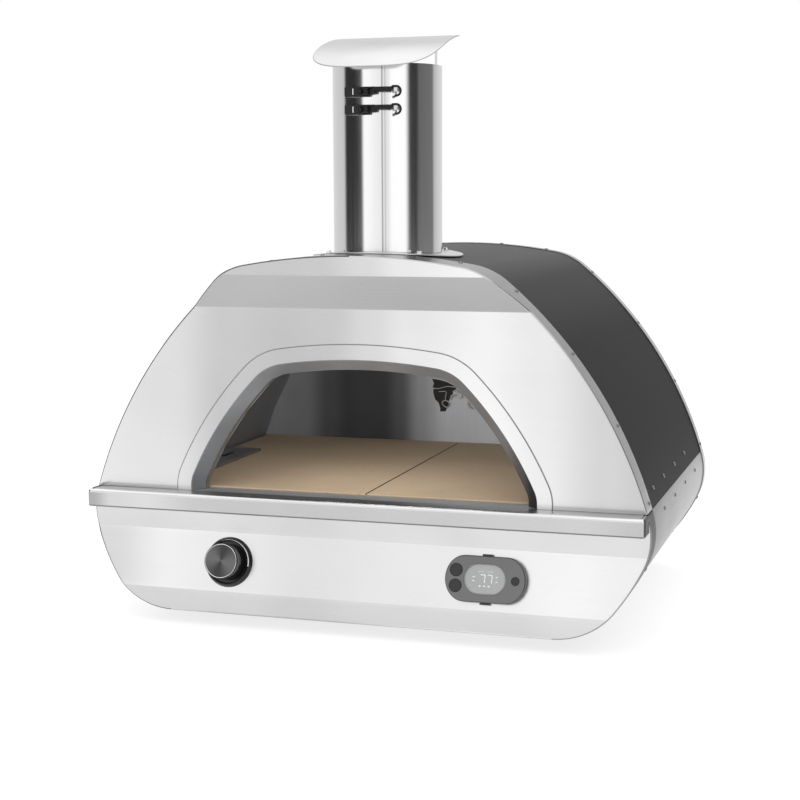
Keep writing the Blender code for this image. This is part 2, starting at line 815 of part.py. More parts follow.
def make_rear_panel():
    start = BODY_DEPTH - FLANGE_DEPTH
    blank = prism(body_region(0), start, BODY_DEPTH, "Y")
    core = prism(body_region(SHEET), start - OVERRUN, BODY_DEPTH - SHEET, "Y")
    panel = cut(blank, core)
    tools = []
    for side in (-1, 1):
        for row in range(VENT_ROWS):
            middle = side * VENT_X
            low = VENT_LOWEST + row * VENT_PITCH
            slot = rounded_oval(VENT_WIDTH, VENT_HEIGHT, VENT_HEIGHT / 2, 4)
            mesh = prism(slot, BODY_DEPTH - OVERRUN, BODY_DEPTH + OVERRUN, "Y")
            tools.append(transformed(mesh, Matrix.Translation((middle, 0, low))))
    tools.append(along_y(inlet_x(), inlet_height(), INLET_THREAD_RADIUS + INLET_THREAD_RISE
                         + GAP, BODY_DEPTH - OVERRUN, BODY_DEPTH + OVERRUN))
    add_object("rear_panel", cut(panel, *tools), BRUSHED)


def along_y(x, z, radius, low, high, sides=FINE_SIDES):
    """Round bar along the depth."""
    bar = turned([(0, low), (radius, low), (radius, high), (0, high)], "Y", sides)
    return transformed(bar, Matrix.Translation((x, 0, z)))


# Oven chamber

def chamber_end():
    """Back face of the chamber."""
    return BODY_DEPTH - BACK_SPACE


def make_chamber():
    inner = WALL_SPACE + CHAMBER_SHEET
    low = CHAMBER_FLOOR
    crown = body_half(WALL_SPACE)[-1][1] + OVERRUN
    shell = prism(body_region(WALL_SPACE, low, crown), CHAMBER_FRONT, chamber_end(), "Y")
    core = prism(body_region(inner, low + CHAMBER_SHEET, crown),
                 CHAMBER_FRONT + CHAMBER_SHEET, chamber_end() - CHAMBER_SHEET, "Y")
    door = mouth_run(liner_inset() + SHEET, LEDGE_TOP)
    door = prism(door, CHAMBER_FRONT - OVERRUN, CHAMBER_FRONT + OVERRUN, "Y")
    tools = [core, door, flue_bore(flue_radius() + FLUE_HOLE_CLEARANCE)]
    tools += floor_holes()
    add_object("oven_chamber", cut(shell, *tools), CHAMBER_STEEL)

    outside = skin_inset() + SKIN_SHEET + GAP
    lip = outside + SKIN_SHEET + GAP
    low = SHIELD_HEIGHT + SHEET + GAP
    front = THROAT_DEPTH + GAP
    back = BODY_DEPTH - SHEET - GAP
    wool = prism(body_region(lip, low, crown + WALL_SPACE), front, back, "Y")
    room = prism(body_region(WALL_SPACE - GAP, low - OVERRUN, crown + WALL_SPACE),
                 CHAMBER_FRONT - GAP, chamber_end() + GAP, "Y")
    door = mouth_run(liner_inset() - GAP, LEDGE_TOP - SHEET - GAP)
    door = prism(door, -OVERRUN, CHAMBER_FRONT + OVERRUN, "Y")
    wool = cut(wool, room, door, flue_bore(flue_radius() + GAP))
    add_object("insulation_blanket", wool, WOOL)

    back = chamber_end()
    wide = body_width_at(CHAMBER_FLOOR, WALL_SPACE) - SHIELD_MARGIN
    board = box((-wide, wide), (CHAMBER_FRONT, back), (low, CHAMBER_FLOOR - GAP))
    add_object("floor_insulation", cut(board, *floor_holes()), WOOL)

    level = SHIELD_HEIGHT
    wide = body_width_at(level, outside)
    shield = prism(body_region(outside, level, level + SHEET), SKIN_TUCK, back, "Y")
    add_object("heat_shield", cut(shield, *floor_holes()), BRUSHED)


def burner_x():
    """Burner's centre line across the body, beside the chamber's left wall."""
    return BURNER_SIDE - body_width_at(CHAMBER_FLOOR, WALL_SPACE)


def burner_level():
    """Height of the burner's centre line."""
    return CHAMBER_FLOOR + CHAMBER_SHEET + GAP + BURNER_RADIUS


def pin_places():
    """Igniter and flame thermocouple, beside the burner."""
    x = burner_x() + PIN_SIDE
    return [(x, BURNER_START + PIN_DEPTH), (x, BURNER_START + PIN_DEPTH + PIN_PITCH)]


def floor_holes():
    """Cutters for what passes up through the floor."""
    low = SHIELD_HEIGHT - OVERRUN
    high = CHAMBER_FLOOR + BURNER_RADIUS
    half = BURNER_RADIUS + GAP
    middle = burner_x()
    holes = [upright(middle, BURNER_START, half, low, high, TURN_SIDES),
             box((middle - half, middle + half),
                 (BURNER_START, BURNER_START + BURNER_BEND),
                 (CHAMBER_FLOOR - BURNER_RADIUS, high))]
    for x, y in pin_places():
        holes.append(upright(x, y, PIN_RADIUS + GAP, low, high))
    return holes


def guard_edge():
    """Outside of the guard's skirt."""
    return burner_x() + GUARD_SIDE


def guard_end():
    """Far end of the guard."""
    return BURNER_START + BURNER_LENGTH + GUARD_REACH


def floor_notch(clearance, low, high):
    """Cutter for the burner's place in the left of the floor."""
    wide = body_width_at(CHAMBER_FLOOR)
    return box((-wide, guard_edge() + clearance), (0, guard_end() + clearance), (low, high))


def make_floor():
    inner = WALL_SPACE + CHAMBER_SHEET
    wide = body_width_at(STONE_TOP, inner) - STONE_SIDE_GAP
    front = CHAMBER_FRONT + CHAMBER_SHEET + STONE_END_GAP
    back = chamber_end() - CHAMBER_SHEET - STONE_END_GAP
    low = STONE_TOP - STONE_THICKNESS
    near = GAP / 10

    def stone(left, right, tools):
        mesh = box((left, right), (front, back), (low, STONE_TOP))
        if tools:
            mesh = cut(mesh, *tools)
        return bevel_edges(mesh, STONE_EDGE, lambda p: p.z > STONE_TOP - near, 1)

    notch = floor_notch(NOTCH_CLEARANCE, low - OVERRUN, STONE_TOP + OVERRUN)
    add_object("floor_stone_left", stone(-wide, -STONE_JOINT / 2, [notch]), STONE)
    add_object("floor_stone_right", stone(STONE_JOINT / 2, wide, []), STONE)

    top = low - GAP
    wide -= TRAY_INSET
    bottom = CHAMBER_FLOOR + CHAMBER_SHEET + GAP
    plate = box((-wide, wide), (front, back), (top - TRAY_SHEET, top))
    ribs = []
    for k in range(TRAY_RIB_COUNT):
        x = -wide + TRAY_RIB + (2 * wide - 2 * TRAY_RIB) * k / (TRAY_RIB_COUNT - 1)
        ribs.append(box((x - TRAY_RIB / 2, x + TRAY_RIB / 2), (front + TRAY_RIB, back - TRAY_RIB),
                        (bottom, top - TRAY_SHEET / 2)))
    tray = fused(plate, *ribs)
    notch = floor_notch(NOTCH_CLEARANCE, bottom - OVERRUN, top + OVERRUN)
    add_object("stone_tray", cut(tray, notch), CHAMBER_STEEL)


# Burner

def bent_route(route, bend, closed=False):
    """Points along straight runs whose corners are rounded to one bend radius."""
    points = []
    count = len(route)
    for i in range(count):
        corner = Vector(route[i])
        if not closed and i in (0, count - 1):
            points.append(corner)
            continue
        back = (Vector(route[i - 1]) - corner).normalized()
        ahead = (Vector(route[(i + 1) % count]) - corner).normalized()
        angle = back.angle(ahead)
        centre = corner + (back + ahead).normalized() * (bend / math.sin(angle / 2))
        first = corner + back * (bend / math.tan(angle / 2))
        axis = (first - centre).cross(-back).normalized()
        turn = math.pi - angle
        steps = max(3, math.ceil(turn / math.radians(18)))
        for k in range(steps + 1):
            spin = Matrix.Rotation(turn * k / steps, 3, axis)
            points.append(centre + spin @ (first - centre))
    return points


def bent_tube(route, radius, bend, resolution=2, closed=False):
    """Round bar along a route of straight runs and bends, as a mesh."""
    points = bent_route(route, bend, closed)
    curve = bpy.data.curves.new("route", 'CURVE')
    curve.dimensions = '3D'
    curve.bevel_depth = radius
    curve.bevel_resolution = resolution
    curve.use_fill_caps = not closed
    spline = curve.splines.new('POLY')
    spline.points.add(len(points) - 1)
    for target, point in zip(spline.points, points):
        target.co = (*point, 1)
    spline.use_cyclic_u = closed
    obj = bpy.data.objects.new("route", curve)
    bpy.context.scene.collection.objects.link(obj)
    graph = bpy.context.evaluated_depsgraph_get()
    graph.update()
    mesh = bpy.data.meshes.new_from_object(obj.evaluated_get(graph))
    bpy.data.objects.remove(obj, do_unlink=True)
    bm = bmesh.new()
    bm.from_mesh(mesh)
    bpy.data.meshes.remove(mesh)
    return finish(bm)


def make_burner():
    middle = burner_x()
    level = burner_level()
    end = BURNER_START + BURNER_LENGTH
    low = level - BURNER_DROP
    start = (middle, BURNER_START)
    outer = bent_tube([(*start, low), (*start, level), (middle, end, level)],
                      BURNER_RADIUS, BURNER_BEND, 4)
    inner = bent_tube([(*start, low - OVERRUN), (*start, level),
                       (middle, end - BURNER_WALL, level)],
                      BURNER_RADIUS - BURNER_WALL, BURNER_BEND, 4)
    tube = cut(outer, inner)
    first = BURNER_START + BURNER_BEND + PORT_MARGIN
    count = int((end - PORT_MARGIN - first) / PORT_PITCH) + 1
    top = level + BURNER_RADIUS
    ports = []
    for k in range(count):
        y = first + k * PORT_PITCH
        ports.append(box((middle - PORT_SPAN / 2, middle + PORT_SPAN / 2),
                         (y - PORT_WIDTH / 2, y + PORT_WIDTH / 2),
                         (top - PORT_DEPTH, top + OVERRUN)))
    add_object("burner_tube", cut(tube, joined(ports)), CHAMBER_STEEL)

    bore = BURNER_RADIUS - BURNER_WALL - ORIFICE_PLAY
    base = low - ORIFICE_LENGTH + ORIFICE_RISE
    profile = [(0, base), (ORIFICE_HEX, base), (ORIFICE_HEX, low - GAP), (bore, low - GAP),
               (bore, low + ORIFICE_RISE), (0, low + ORIFICE_RISE)]
    orifice = transformed(turned(profile, "Z", TURN_SIDES), Matrix.Translation((*start, 0)))
    add_object("gas_orifice", orifice, BRASS)

    names = (("igniter_electrode", CERAMIC), ("flame_thermocouple", BRASS))
    floor = CHAMBER_FLOOR
    for (name, look), (x, y) in zip(names, pin_places()):
        nut_top = SHIELD_HEIGHT - GAP
        profile = [(0, floor - PIN_BELOW - PIN_NUT_HEIGHT),
                   (PIN_RADIUS, floor - PIN_BELOW - PIN_NUT_HEIGHT),
                   (PIN_RADIUS, nut_top - PIN_NUT_HEIGHT), (PIN_NUT_RADIUS, nut_top - PIN_NUT_HEIGHT),
                   (PIN_NUT_RADIUS, nut_top), (PIN_RADIUS, nut_top),
                   (PIN_RADIUS, floor + PIN_ABOVE), (PIN_RADIUS / 2, floor + PIN_ABOVE + PIN_RADIUS),
                   (0, floor + PIN_ABOVE + PIN_RADIUS)]
        pin = transformed(turned(profile, "Z", FINE_SIDES), Matrix.Translation((x, y, 0)))
        add_object(name, pin, look)

    wall = body_width_at(STONE_TOP, WALL_SPACE + CHAMBER_SHEET) - STONE_SIDE_GAP
    low = STONE_TOP + GUARD_RISE
    front = CHAMBER_FRONT + CHAMBER_SHEET + STONE_END_GAP
    right = guard_edge()
    plate = box((-wall, right), (front, guard_end()), (low, low + SHEET))
    base = CHAMBER_FLOOR + CHAMBER_SHEET + GAP
    skirt = box((right - SHEET, right), (front, guard_end()), (base, low + SHEET / 2))
    slots = []
    half_way = (BURNER_START + guard_end()) / 2
    for k in range(GUARD_SLOT_COUNT):
        y = half_way + (k - (GUARD_SLOT_COUNT - 1) / 2) * GUARD_SLOT_PITCH
        slots.append(box((middle - GUARD_SLOT_WIDTH / 2, middle + GUARD_SLOT_WIDTH / 2),
                         (y - GUARD_SLOT_LENGTH / 2, y + GUARD_SLOT_LENGTH / 2),
                         (low - OVERRUN, low + OVERRUN)))
    guard = cut(fused(plate, skirt), joined(slots))
    add_object("burner_guard", guard, CHAMBER_STEEL)


def make_probe():
    back = chamber_end() - CHAMBER_SHEET - GAP
    front = back - PROBE_PLATE_SHEET
    half = PROBE_PLATE_WIDTH / 2
    tall = PROBE_PLATE_HEIGHT / 2
    plate = box((PROBE_X - half, PROBE_X + half), (front, back),
                (PROBE_HEIGHT - tall, PROBE_HEIGHT + tall))
    tip = front - PROBE_REACH
    high = PROBE_HEIGHT + PROBE_LOOP
    rod = bent_tube([(PROBE_X, front + PROBE_PLATE_SHEET / 2, high), (PROBE_X, tip, high),
                     (PROBE_X, tip, high - PROBE_LOOP * 2)], PROBE_RADIUS, PROBE_BEND)
    add_object("temperature_probe", fused(plate, rod), DARK_METAL)


# Knob and gas valve

def knob_profile():
    """Closed (radius, y) profile of the knob, y measured out of the control face."""
    front = KNOB_FRONT
    back = KNOB_BACK
    bore = STEM_RADIUS + GAP
    floor = front - FACE_SHEET - FACE_RECESS - GAP
    return [
        (0, floor), (FACE_RADIUS + GAP, floor), (FACE_RADIUS + GAP, front - KNOB_EDGE / 3),
        (KNOB_RADIUS - KNOB_EDGE, front), (KNOB_RADIUS, front - KNOB_EDGE),
        (KNOB_SKIRT_RADIUS, back), (KNOB_HUB_RADIUS, back), (KNOB_HUB_RADIUS, KNOB_HUB_BACK),
        (bore, KNOB_HUB_BACK), (bore, KNOB_HUB_BACK + STEM_GRIP),
        (0, KNOB_HUB_BACK + STEM_GRIP),
    ]


def make_knob():
    location, rotation = control_frame(KNOB_X)

    def flipped(profile):
        return [(radius, -y) for radius, y in profile]

    low = GAP
    profile = [(BEZEL_BORE, low), (BEZEL_RADIUS, low), (BEZEL_FACE_RADIUS, BEZEL_HEIGHT),
               (BEZEL_DISH_RADIUS, BEZEL_HEIGHT), (BEZEL_DISH_RADIUS, BEZEL_DISH_FLOOR),
               (BEZEL_BORE, BEZEL_DISH_FLOOR)]
    add_object("knob_bezel", turned(flipped(profile), "Y"), BLACK_GLOSS, location, rotation)
    add_object("knob", turned(flipped(knob_profile()), "Y"), BLACK_GLOSS, location, rotation)

    front = KNOB_FRONT - FACE_RECESS
    profile = [(0, front - FACE_SHEET), (FACE_RADIUS, front - FACE_SHEET), (FACE_RADIUS, front),
               (0, front)]
    add_object("knob_face", turned(flipped(profile), "Y"), DARK_METAL, location, rotation)

    top = KNOB_HUB_BACK + STEM_GRIP - GAP
    tail = -PLUG_SET_BACK - STEM_TAIL + PUSH_TRAVEL + GAP
    profile = [(0, tail), (STEM_RADIUS, tail), (STEM_RADIUS, top), (0, top)]
    add_object("valve_stem", turned(flipped(profile), "Y", FINE_SIDES), BRASS,
               location, rotation)

    start = -PLUG_SET_BACK
    bore = STEM_RADIUS + GAP
    depth = start - STEM_TAIL - GAP
    profile = [(0, start - PLUG_LENGTH), (PLUG_RADIUS - BURNER_WALL, start - PLUG_LENGTH),
               (PLUG_RADIUS, start), (bore, start), (bore, depth), (0, depth)]
    add_object("valve_plug", turned(flipped(profile), "Y", FINE_SIDES), BRASS,
               location, rotation)

    near = SHEET + GAP
    far = near + VALVE_DEPTH
    half = VALVE_WIDTH / 2
    tall = VALVE_HEIGHT / 2
    body = box((-half, half), (near, far), (-tall, tall))
    seat = [(0, near - OVERRUN), (bore, near - OVERRUN), (bore, PLUG_SET_BACK - GAP),
            (PLUG_RADIUS + GAP, PLUG_SET_BACK - GAP),
            (PLUG_RADIUS - BURNER_WALL + GAP, PLUG_SET_BACK + PLUG_LENGTH + GAP),
            (0, PLUG_SET_BACK + PLUG_LENGTH + GAP)]
    body = cut(body, turned(seat, "Y", FINE_SIDES))
    body = bevel_edges(body, VALVE_HEIGHT / 10, lambda p: p.y > far - GAP / 10, 1)
    add_object("gas_valve_body", body, BRASS, location, rotation)


def valve_middle():
    """Centre of the valve body, in the body's frame."""
    location, rotation = control_frame(KNOB_X)
    offset = Matrix.Rotation(rotation[0], 3, 'X') @ Vector((0, SHEET + GAP + VALVE_DEPTH / 2, 0))
    return Vector(location) + offset


def inlet_x():
    """Place of the gas inlet across the rear panel."""
    return KNOB_X


def inlet_height():
    """Height of the supply pipe's centre line."""
    return FOOT_HEIGHT + skin_inset() + SKIN_SHEET + PIPE_CLEARANCE


def make_gas_line():
    middle = valve_middle()
    lean = control_lean()
    under = middle.z - (VALVE_HEIGHT / 2 + GAP + PIPE_RADIUS * math.sin(lean)) / math.cos(lean)
    level = inlet_height()
    inside = BODY_DEPTH - SHEET - GAP
    fitting_front = inside - INLET_HEX_DEPTH
    supply = bent_tube([(KNOB_X, middle.y, under), (KNOB_X, middle.y, level),
                        (KNOB_X, fitting_front - GAP, level)], PIPE_RADIUS, PIPE_BEND)
    add_object("gas_supply_pipe", supply, BRASS)

    low = burner_level() - BURNER_DROP - ORIFICE_LENGTH + ORIFICE_RISE - GAP
    side = KNOB_X - VALVE_WIDTH / 2 - GAP
    route = [(side, middle.y, middle.z), (side - PIPE_BEND * 2, middle.y, middle.z),
             (burner_x(), BURNER_START, middle.z), (burner_x(), BURNER_START, low)]
    add_object("gas_feed_pipe", bent_tube(route, PIPE_RADIUS, PIPE_BEND), BRASS)

    profile = [(INLET_BORE, fitting_front), (INLET_HEX_RADIUS, fitting_front),
               (INLET_HEX_RADIUS, inside), (INLET_THREAD_RADIUS, inside)]
    reach = BODY_DEPTH + INLET_REACH
    pitch = (reach - BODY_DEPTH - SHEET) / (INLET_THREADS + 1)
    for k in range(INLET_THREADS):
        y = BODY_DEPTH + SHEET + k * pitch
        profile += [(INLET_THREAD_RADIUS, y), (INLET_THREAD_RADIUS + INLET_THREAD_RISE, y + pitch / 4),
                    (INLET_THREAD_RADIUS + INLET_THREAD_RISE, y + pitch / 2),
                    (INLET_THREAD_RADIUS, y + pitch * 3 / 4)]
    profile += [(INLET_THREAD_RADIUS, reach), (INLET_BORE, reach)]
    fitting = transformed(turned(profile, "Y", FINE_SIDES),
                          Matrix.Translation((inlet_x(), 0, level)))
    add_object("gas_inlet_fitting", fitting, BRASS)


# Thermometer

def make_thermometer():
    location, rotation = control_frame(THERMO_X)

    def plate(width, height, end, near, far):
        return prism(rounded_oval(width, height, end), -far, -near, "Y")

    def add(name, mesh, look):
        return add_object(name, mesh, look, location, rotation)

    base = GAP
    top = THERMO_HEIGHT / 2 + CRADLE_LIP
    half = CRADLE_WIDTH / 2
    strip = box((-half, half), (-base - CRADLE_SHEET, -base), (-top, top))
    inner = THERMO_HEIGHT / 2 + GAP
    grips = []
    for side in (-1, 1):
        z = sorted((side * inner, side * top))
        grips.append(box((-half, half), (-base - CRADLE_GRIP, -base - CRADLE_SHEET / 2), z))
    add("thermometer_cradle", fused(strip, *grips), GREY_PLASTIC)

    back = base + CRADLE_SHEET + GAP
    front = back + THERMO_DEPTH
    wall = THERMO_WALL
    case = plate(THERMO_WIDTH, THERMO_HEIGHT, THERMO_END, back, front)
    case = bevel_edges(case, THERMO_EDGE, lambda p: p.y < -front + GAP / 10)
    hollow = plate(THERMO_WIDTH - 2 * wall, THERMO_HEIGHT - 2 * wall, THERMO_END - wall,
                   back - OVERRUN, front - wall)
    lens_gap = GAP * 2
    seat = plate(WINDOW_WIDTH + lens_gap, WINDOW_HEIGHT + lens_gap, WINDOW_END + GAP,
                 front - WINDOW_SHEET - GAP, front + OVERRUN)
    sight = plate(WINDOW_WIDTH - 2 * WINDOW_LEDGE, WINDOW_HEIGHT - 2 * WINDOW_LEDGE,
                  WINDOW_END - WINDOW_LEDGE, front - wall - OVERRUN, front + OVERRUN)
    holes = []
    for x, z, radius in button_places():
        hole = turned([(0, -front - OVERRUN), (radius + BUTTON_CLEARANCE, -front - OVERRUN),
                       (radius + BUTTON_CLEARANCE, -back), (0, -back)], "Y", FINE_SIDES)
        holes.append(transformed(hole, Matrix.Translation((x, 0, z))))
    add("thermometer_housing", cut(case, hollow, seat, sight, *holes), GREY_PLASTIC)

    add("thermometer_window", plate(WINDOW_WIDTH, WINDOW_HEIGHT, WINDOW_END,
                                    front - WINDOW_SHEET, front), CLEAR)
    glass_back = front - wall - GAP
    add("thermometer_display", plate(WINDOW_WIDTH, WINDOW_HEIGHT, WINDOW_END,
                                     glass_back - DISPLAY_SHEET, glass_back), DISPLAY_GREY)

    width = THERMO_WIDTH - 2 * wall - 2 * GAP
    height = THERMO_HEIGHT - 2 * wall - 2 * GAP
    end = THERMO_END - wall - GAP
    add("thermometer_back", plate(width, height, end, back, back + BACK_SHEET), GREY_PLASTIC)

    display_back = glass_back - DISPLAY_SHEET
    board_front = display_back - GAP
    board = plate(width - BOARD_MARGIN, height - BOARD_MARGIN, end - BOARD_MARGIN / 2,
                  board_front - BOARD_SHEET, board_front)
    add("thermometer_board", board, CIRCUIT_GREEN)
    cell_low = back + BACK_SHEET + GAP
    cell = turned([(0, -cell_low), (CELL_RADIUS, -cell_low), (CELL_RADIUS, -cell_low - CELL_HEIGHT),
                   (0, -cell_low - CELL_HEIGHT)], "Y", TURN_SIDES)
    add("thermometer_cell", cell, BRUSHED)

    names = ("button_up", "button_down", "button_power")
    for name, (x, z, radius) in zip(names, button_places()):
        flange_front = front - wall - GAP
        flange_back = flange_front - BUTTON_FLANGE_SHEET
        face = front + BUTTON_PROUD
        rim = radius + BUTTON_CLEARANCE + BUTTON_FLANGE
        profile = [(0, -flange_back), (rim, -flange_back), (rim, -flange_front),
                   (radius, -flange_front), (radius, -face + BUTTON_PROUD / 3),
                   (radius - BUTTON_PROUD / 3, -face), (0, -face)]
        button = turned(profile, "Y", FINE_SIDES + 8)
        place = Vector(location) + Matrix.Rotation(rotation[0], 3, 'X') @ Vector((x, 0, z))
        add_object(name, button, BUTTON_RUBBER, place, rotation)


def button_places():
    """(x, z, radius) of each button from the thermometer's centre."""
    return [(-BUTTON_SIDE, BUTTON_RISE, BUTTON_RADIUS),
            (-BUTTON_SIDE, -BUTTON_RISE, BUTTON_RADIUS),
            (POWER_SIDE, 0, POWER_RADIUS)]


# Chimney

def flue_radius():
    """Outside of the fixed flue, inside the sleeve."""
    return SLEEVE_RADIUS - SLEEVE_SHEET - FLUE_CLEARANCE


def crown_block(lift):
    """Solid under the crown's curve moved up by lift, as wide as the chimney's base plate."""
    return prism(body_region(-lift), PIPE_Y - BASE_RADIUS - OVERRUN,
                 PIPE_Y + BASE_RADIUS + OVERRUN, "Y")


def flue_top():
    """Top of the fixed flue."""
    return SLEEVE_TOP - FLUE_RECESS


def make_chimney():
    axis = (0, PIPE_Y, 0)
    radius = flue_radius()
    inner = radius - FLUE_SHEET
    low = body_half(WALL_SPACE)[-1][1] - CHAMBER_SHEET - FLUE_DROP
    profile = [(inner, low), (radius, low), (radius, flue_top()), (inner, flue_top())]
    add_object("flue_pipe", turned(profile, "Z", TURN_SIDES), BRUSHED, axis)

    crown = body_half(0)[-1][1]
    low = crown - BASE_RADIUS / 4
    high = crown + OVERRUN
    hole = radius + GAP
    profile = [(hole, low), (BASE_RADIUS, low), (BASE_RADIUS, high), (hole, high)]
    plate = transformed(turned(profile, "Z", TURN_SIDES * 2), Matrix.Translation(axis))
    plate = combine(plate, [crown_block(GAP + BASE_SHEET)], 'INTERSECT')
    add_object("chimney_base_plate", cut(plate, crown_block(GAP)), BRUSHED)

    half = SLIT_WIDTH / 2 / SLEEVE_RADIUS
    start = -math.pi / 2 + SLIT_ANGLE + half
    span = 2 * math.pi - 2 * half
    steps = TURN_SIDES * 3 // 2
    loops = []
    for reach, z in ((SLEEVE_RADIUS, low), (SLEEVE_RADIUS, SLEEVE_TOP),
                     (SLEEVE_RADIUS - SLEEVE_SHEET, SLEEVE_TOP),
                     (SLEEVE_RADIUS - SLEEVE_SHEET, low)):
        loop = []
        for k in range(steps + 1):
            angle = start + span * k / steps
            loop.append((reach * math.cos(angle), reach * math.sin(angle), z))
        loops.append(loop)
    sleeve = transformed(swept(loops), Matrix.Translation(axis))
    add_object("chimney_sleeve", cut(sleeve, crown_block(BASE_SHEET + 2 * GAP)), BRUSHED)


def cap_crest():
    """Top of the cap."""
    return SLEEVE_TOP + CAP_RISE


def cap_height(y):
    """Top of the rolled cap at a depth behind the chimney's axis."""
    ahead = CAP_HALF_DEPTH - y
    return cap_crest() - CAP_ROLL_RADIUS + math.sqrt(CAP_ROLL_RADIUS ** 2 - ahead ** 2)


def cap_solid(lift, thickness, growth):
    """Rolled sheet on a squared-off round plan, moved up by lift."""
    bm = bmesh.new()

    def place(ring, step, side):
        angle = 2 * math.pi * step / CAP_SIDES
        share = ring / CAP_RINGS
        power = 2 / CAP_CORNER_POWER
        c = math.cos(angle)
        s = math.sin(angle)
        x = share * (CAP_HALF_WIDTH + growth) * math.copysign(abs(c) ** power, c)
        y = share * (CAP_HALF_DEPTH + growth) * math.copysign(abs(s) ** power, s)
        return bm.verts.new((x, y, cap_height(y) + lift - side * thickness))

    sheets = []
    for side in (0, 1):
        rings = [[place(0, 0, side)]]
        for ring in range(1, CAP_RINGS + 1):
            rings.append([place(ring, step, side) for step in range(CAP_SIDES)])
        sheets.append(rings)
        for i in range(CAP_SIDES):
            j = (i + 1) % CAP_SIDES
            bm.faces.new((rings[0][0], rings[1][i], rings[1][j]))
            for ring in range(1, CAP_RINGS):
                bm.faces.new((rings[ring][i], rings[ring + 1][i],
                              rings[ring + 1][j], rings[ring][j]))
    for i in range(CAP_SIDES):
        j = (i + 1) % CAP_SIDES
        bm.faces.new((sheets[0][-1][i], sheets[1][-1][i], sheets[1][-1][j], sheets[0][-1][j]))
    return finish(bm)


def make_cap():
    origin = (0, PIPE_Y, 0)
    add_object("chimney_cap", cap_solid(0, CAP_SHEET, 0), BRUSHED, origin)

    outer = flue_radius() - FLUE_SHEET - FLUE_CLEARANCE
    inner = outer - COLLAR_SHEET
    seat = flue_top() + GAP
    low = seat - COLLAR_HEIGHT
    lip = flue_radius()
    profile = [(inner, low), (outer, low), (outer, seat), (lip, seat), (lip, seat + COLLAR_LIP),
               (inner, seat + COLLAR_LIP)]
    add_object("cap_collar", turned(profile, "Z", TURN_SIDES), BRUSHED, origin)

    over = cap_solid(-CAP_SHEET - GAP + CAP_HALF_WIDTH, CAP_HALF_WIDTH, SHEET)
    flat = inner * math.cos(math.pi / TURN_SIDES) - GAP
    reach = math.sqrt(flat ** 2 - (BRACKET_WIDTH / 2) ** 2)
    for name, angle in (("front", 270), ("right", 30), ("left", 150)):
        strip = box((reach - BRACKET_SHEET, reach), (-BRACKET_WIDTH / 2, BRACKET_WIDTH / 2),
                    (seat - BRACKET_LAP, cap_crest()))
        strip = transformed(strip, Matrix.Rotation(math.radians(angle), 4, 'Z'))
        add_object("cap_bracket_" + name, cut(strip, over.copy()), DARK_METAL, origin)


# Latches

def latch_frame(height):
    """Location and rotation of a latch: local -Y faces out of the sleeve."""
    return (0, PIPE_Y, height), (0, 0, LATCH_ANGLE)


def out(rise):
    """Local y of a point at a rise over the sleeve's tangent plane."""
    return -SLEEVE_RADIUS - rise


def pin_bar(x, rise, radius, half):
    """Upright pin in a latch's frame."""
    return upright(x, out(rise), radius, -half, half)


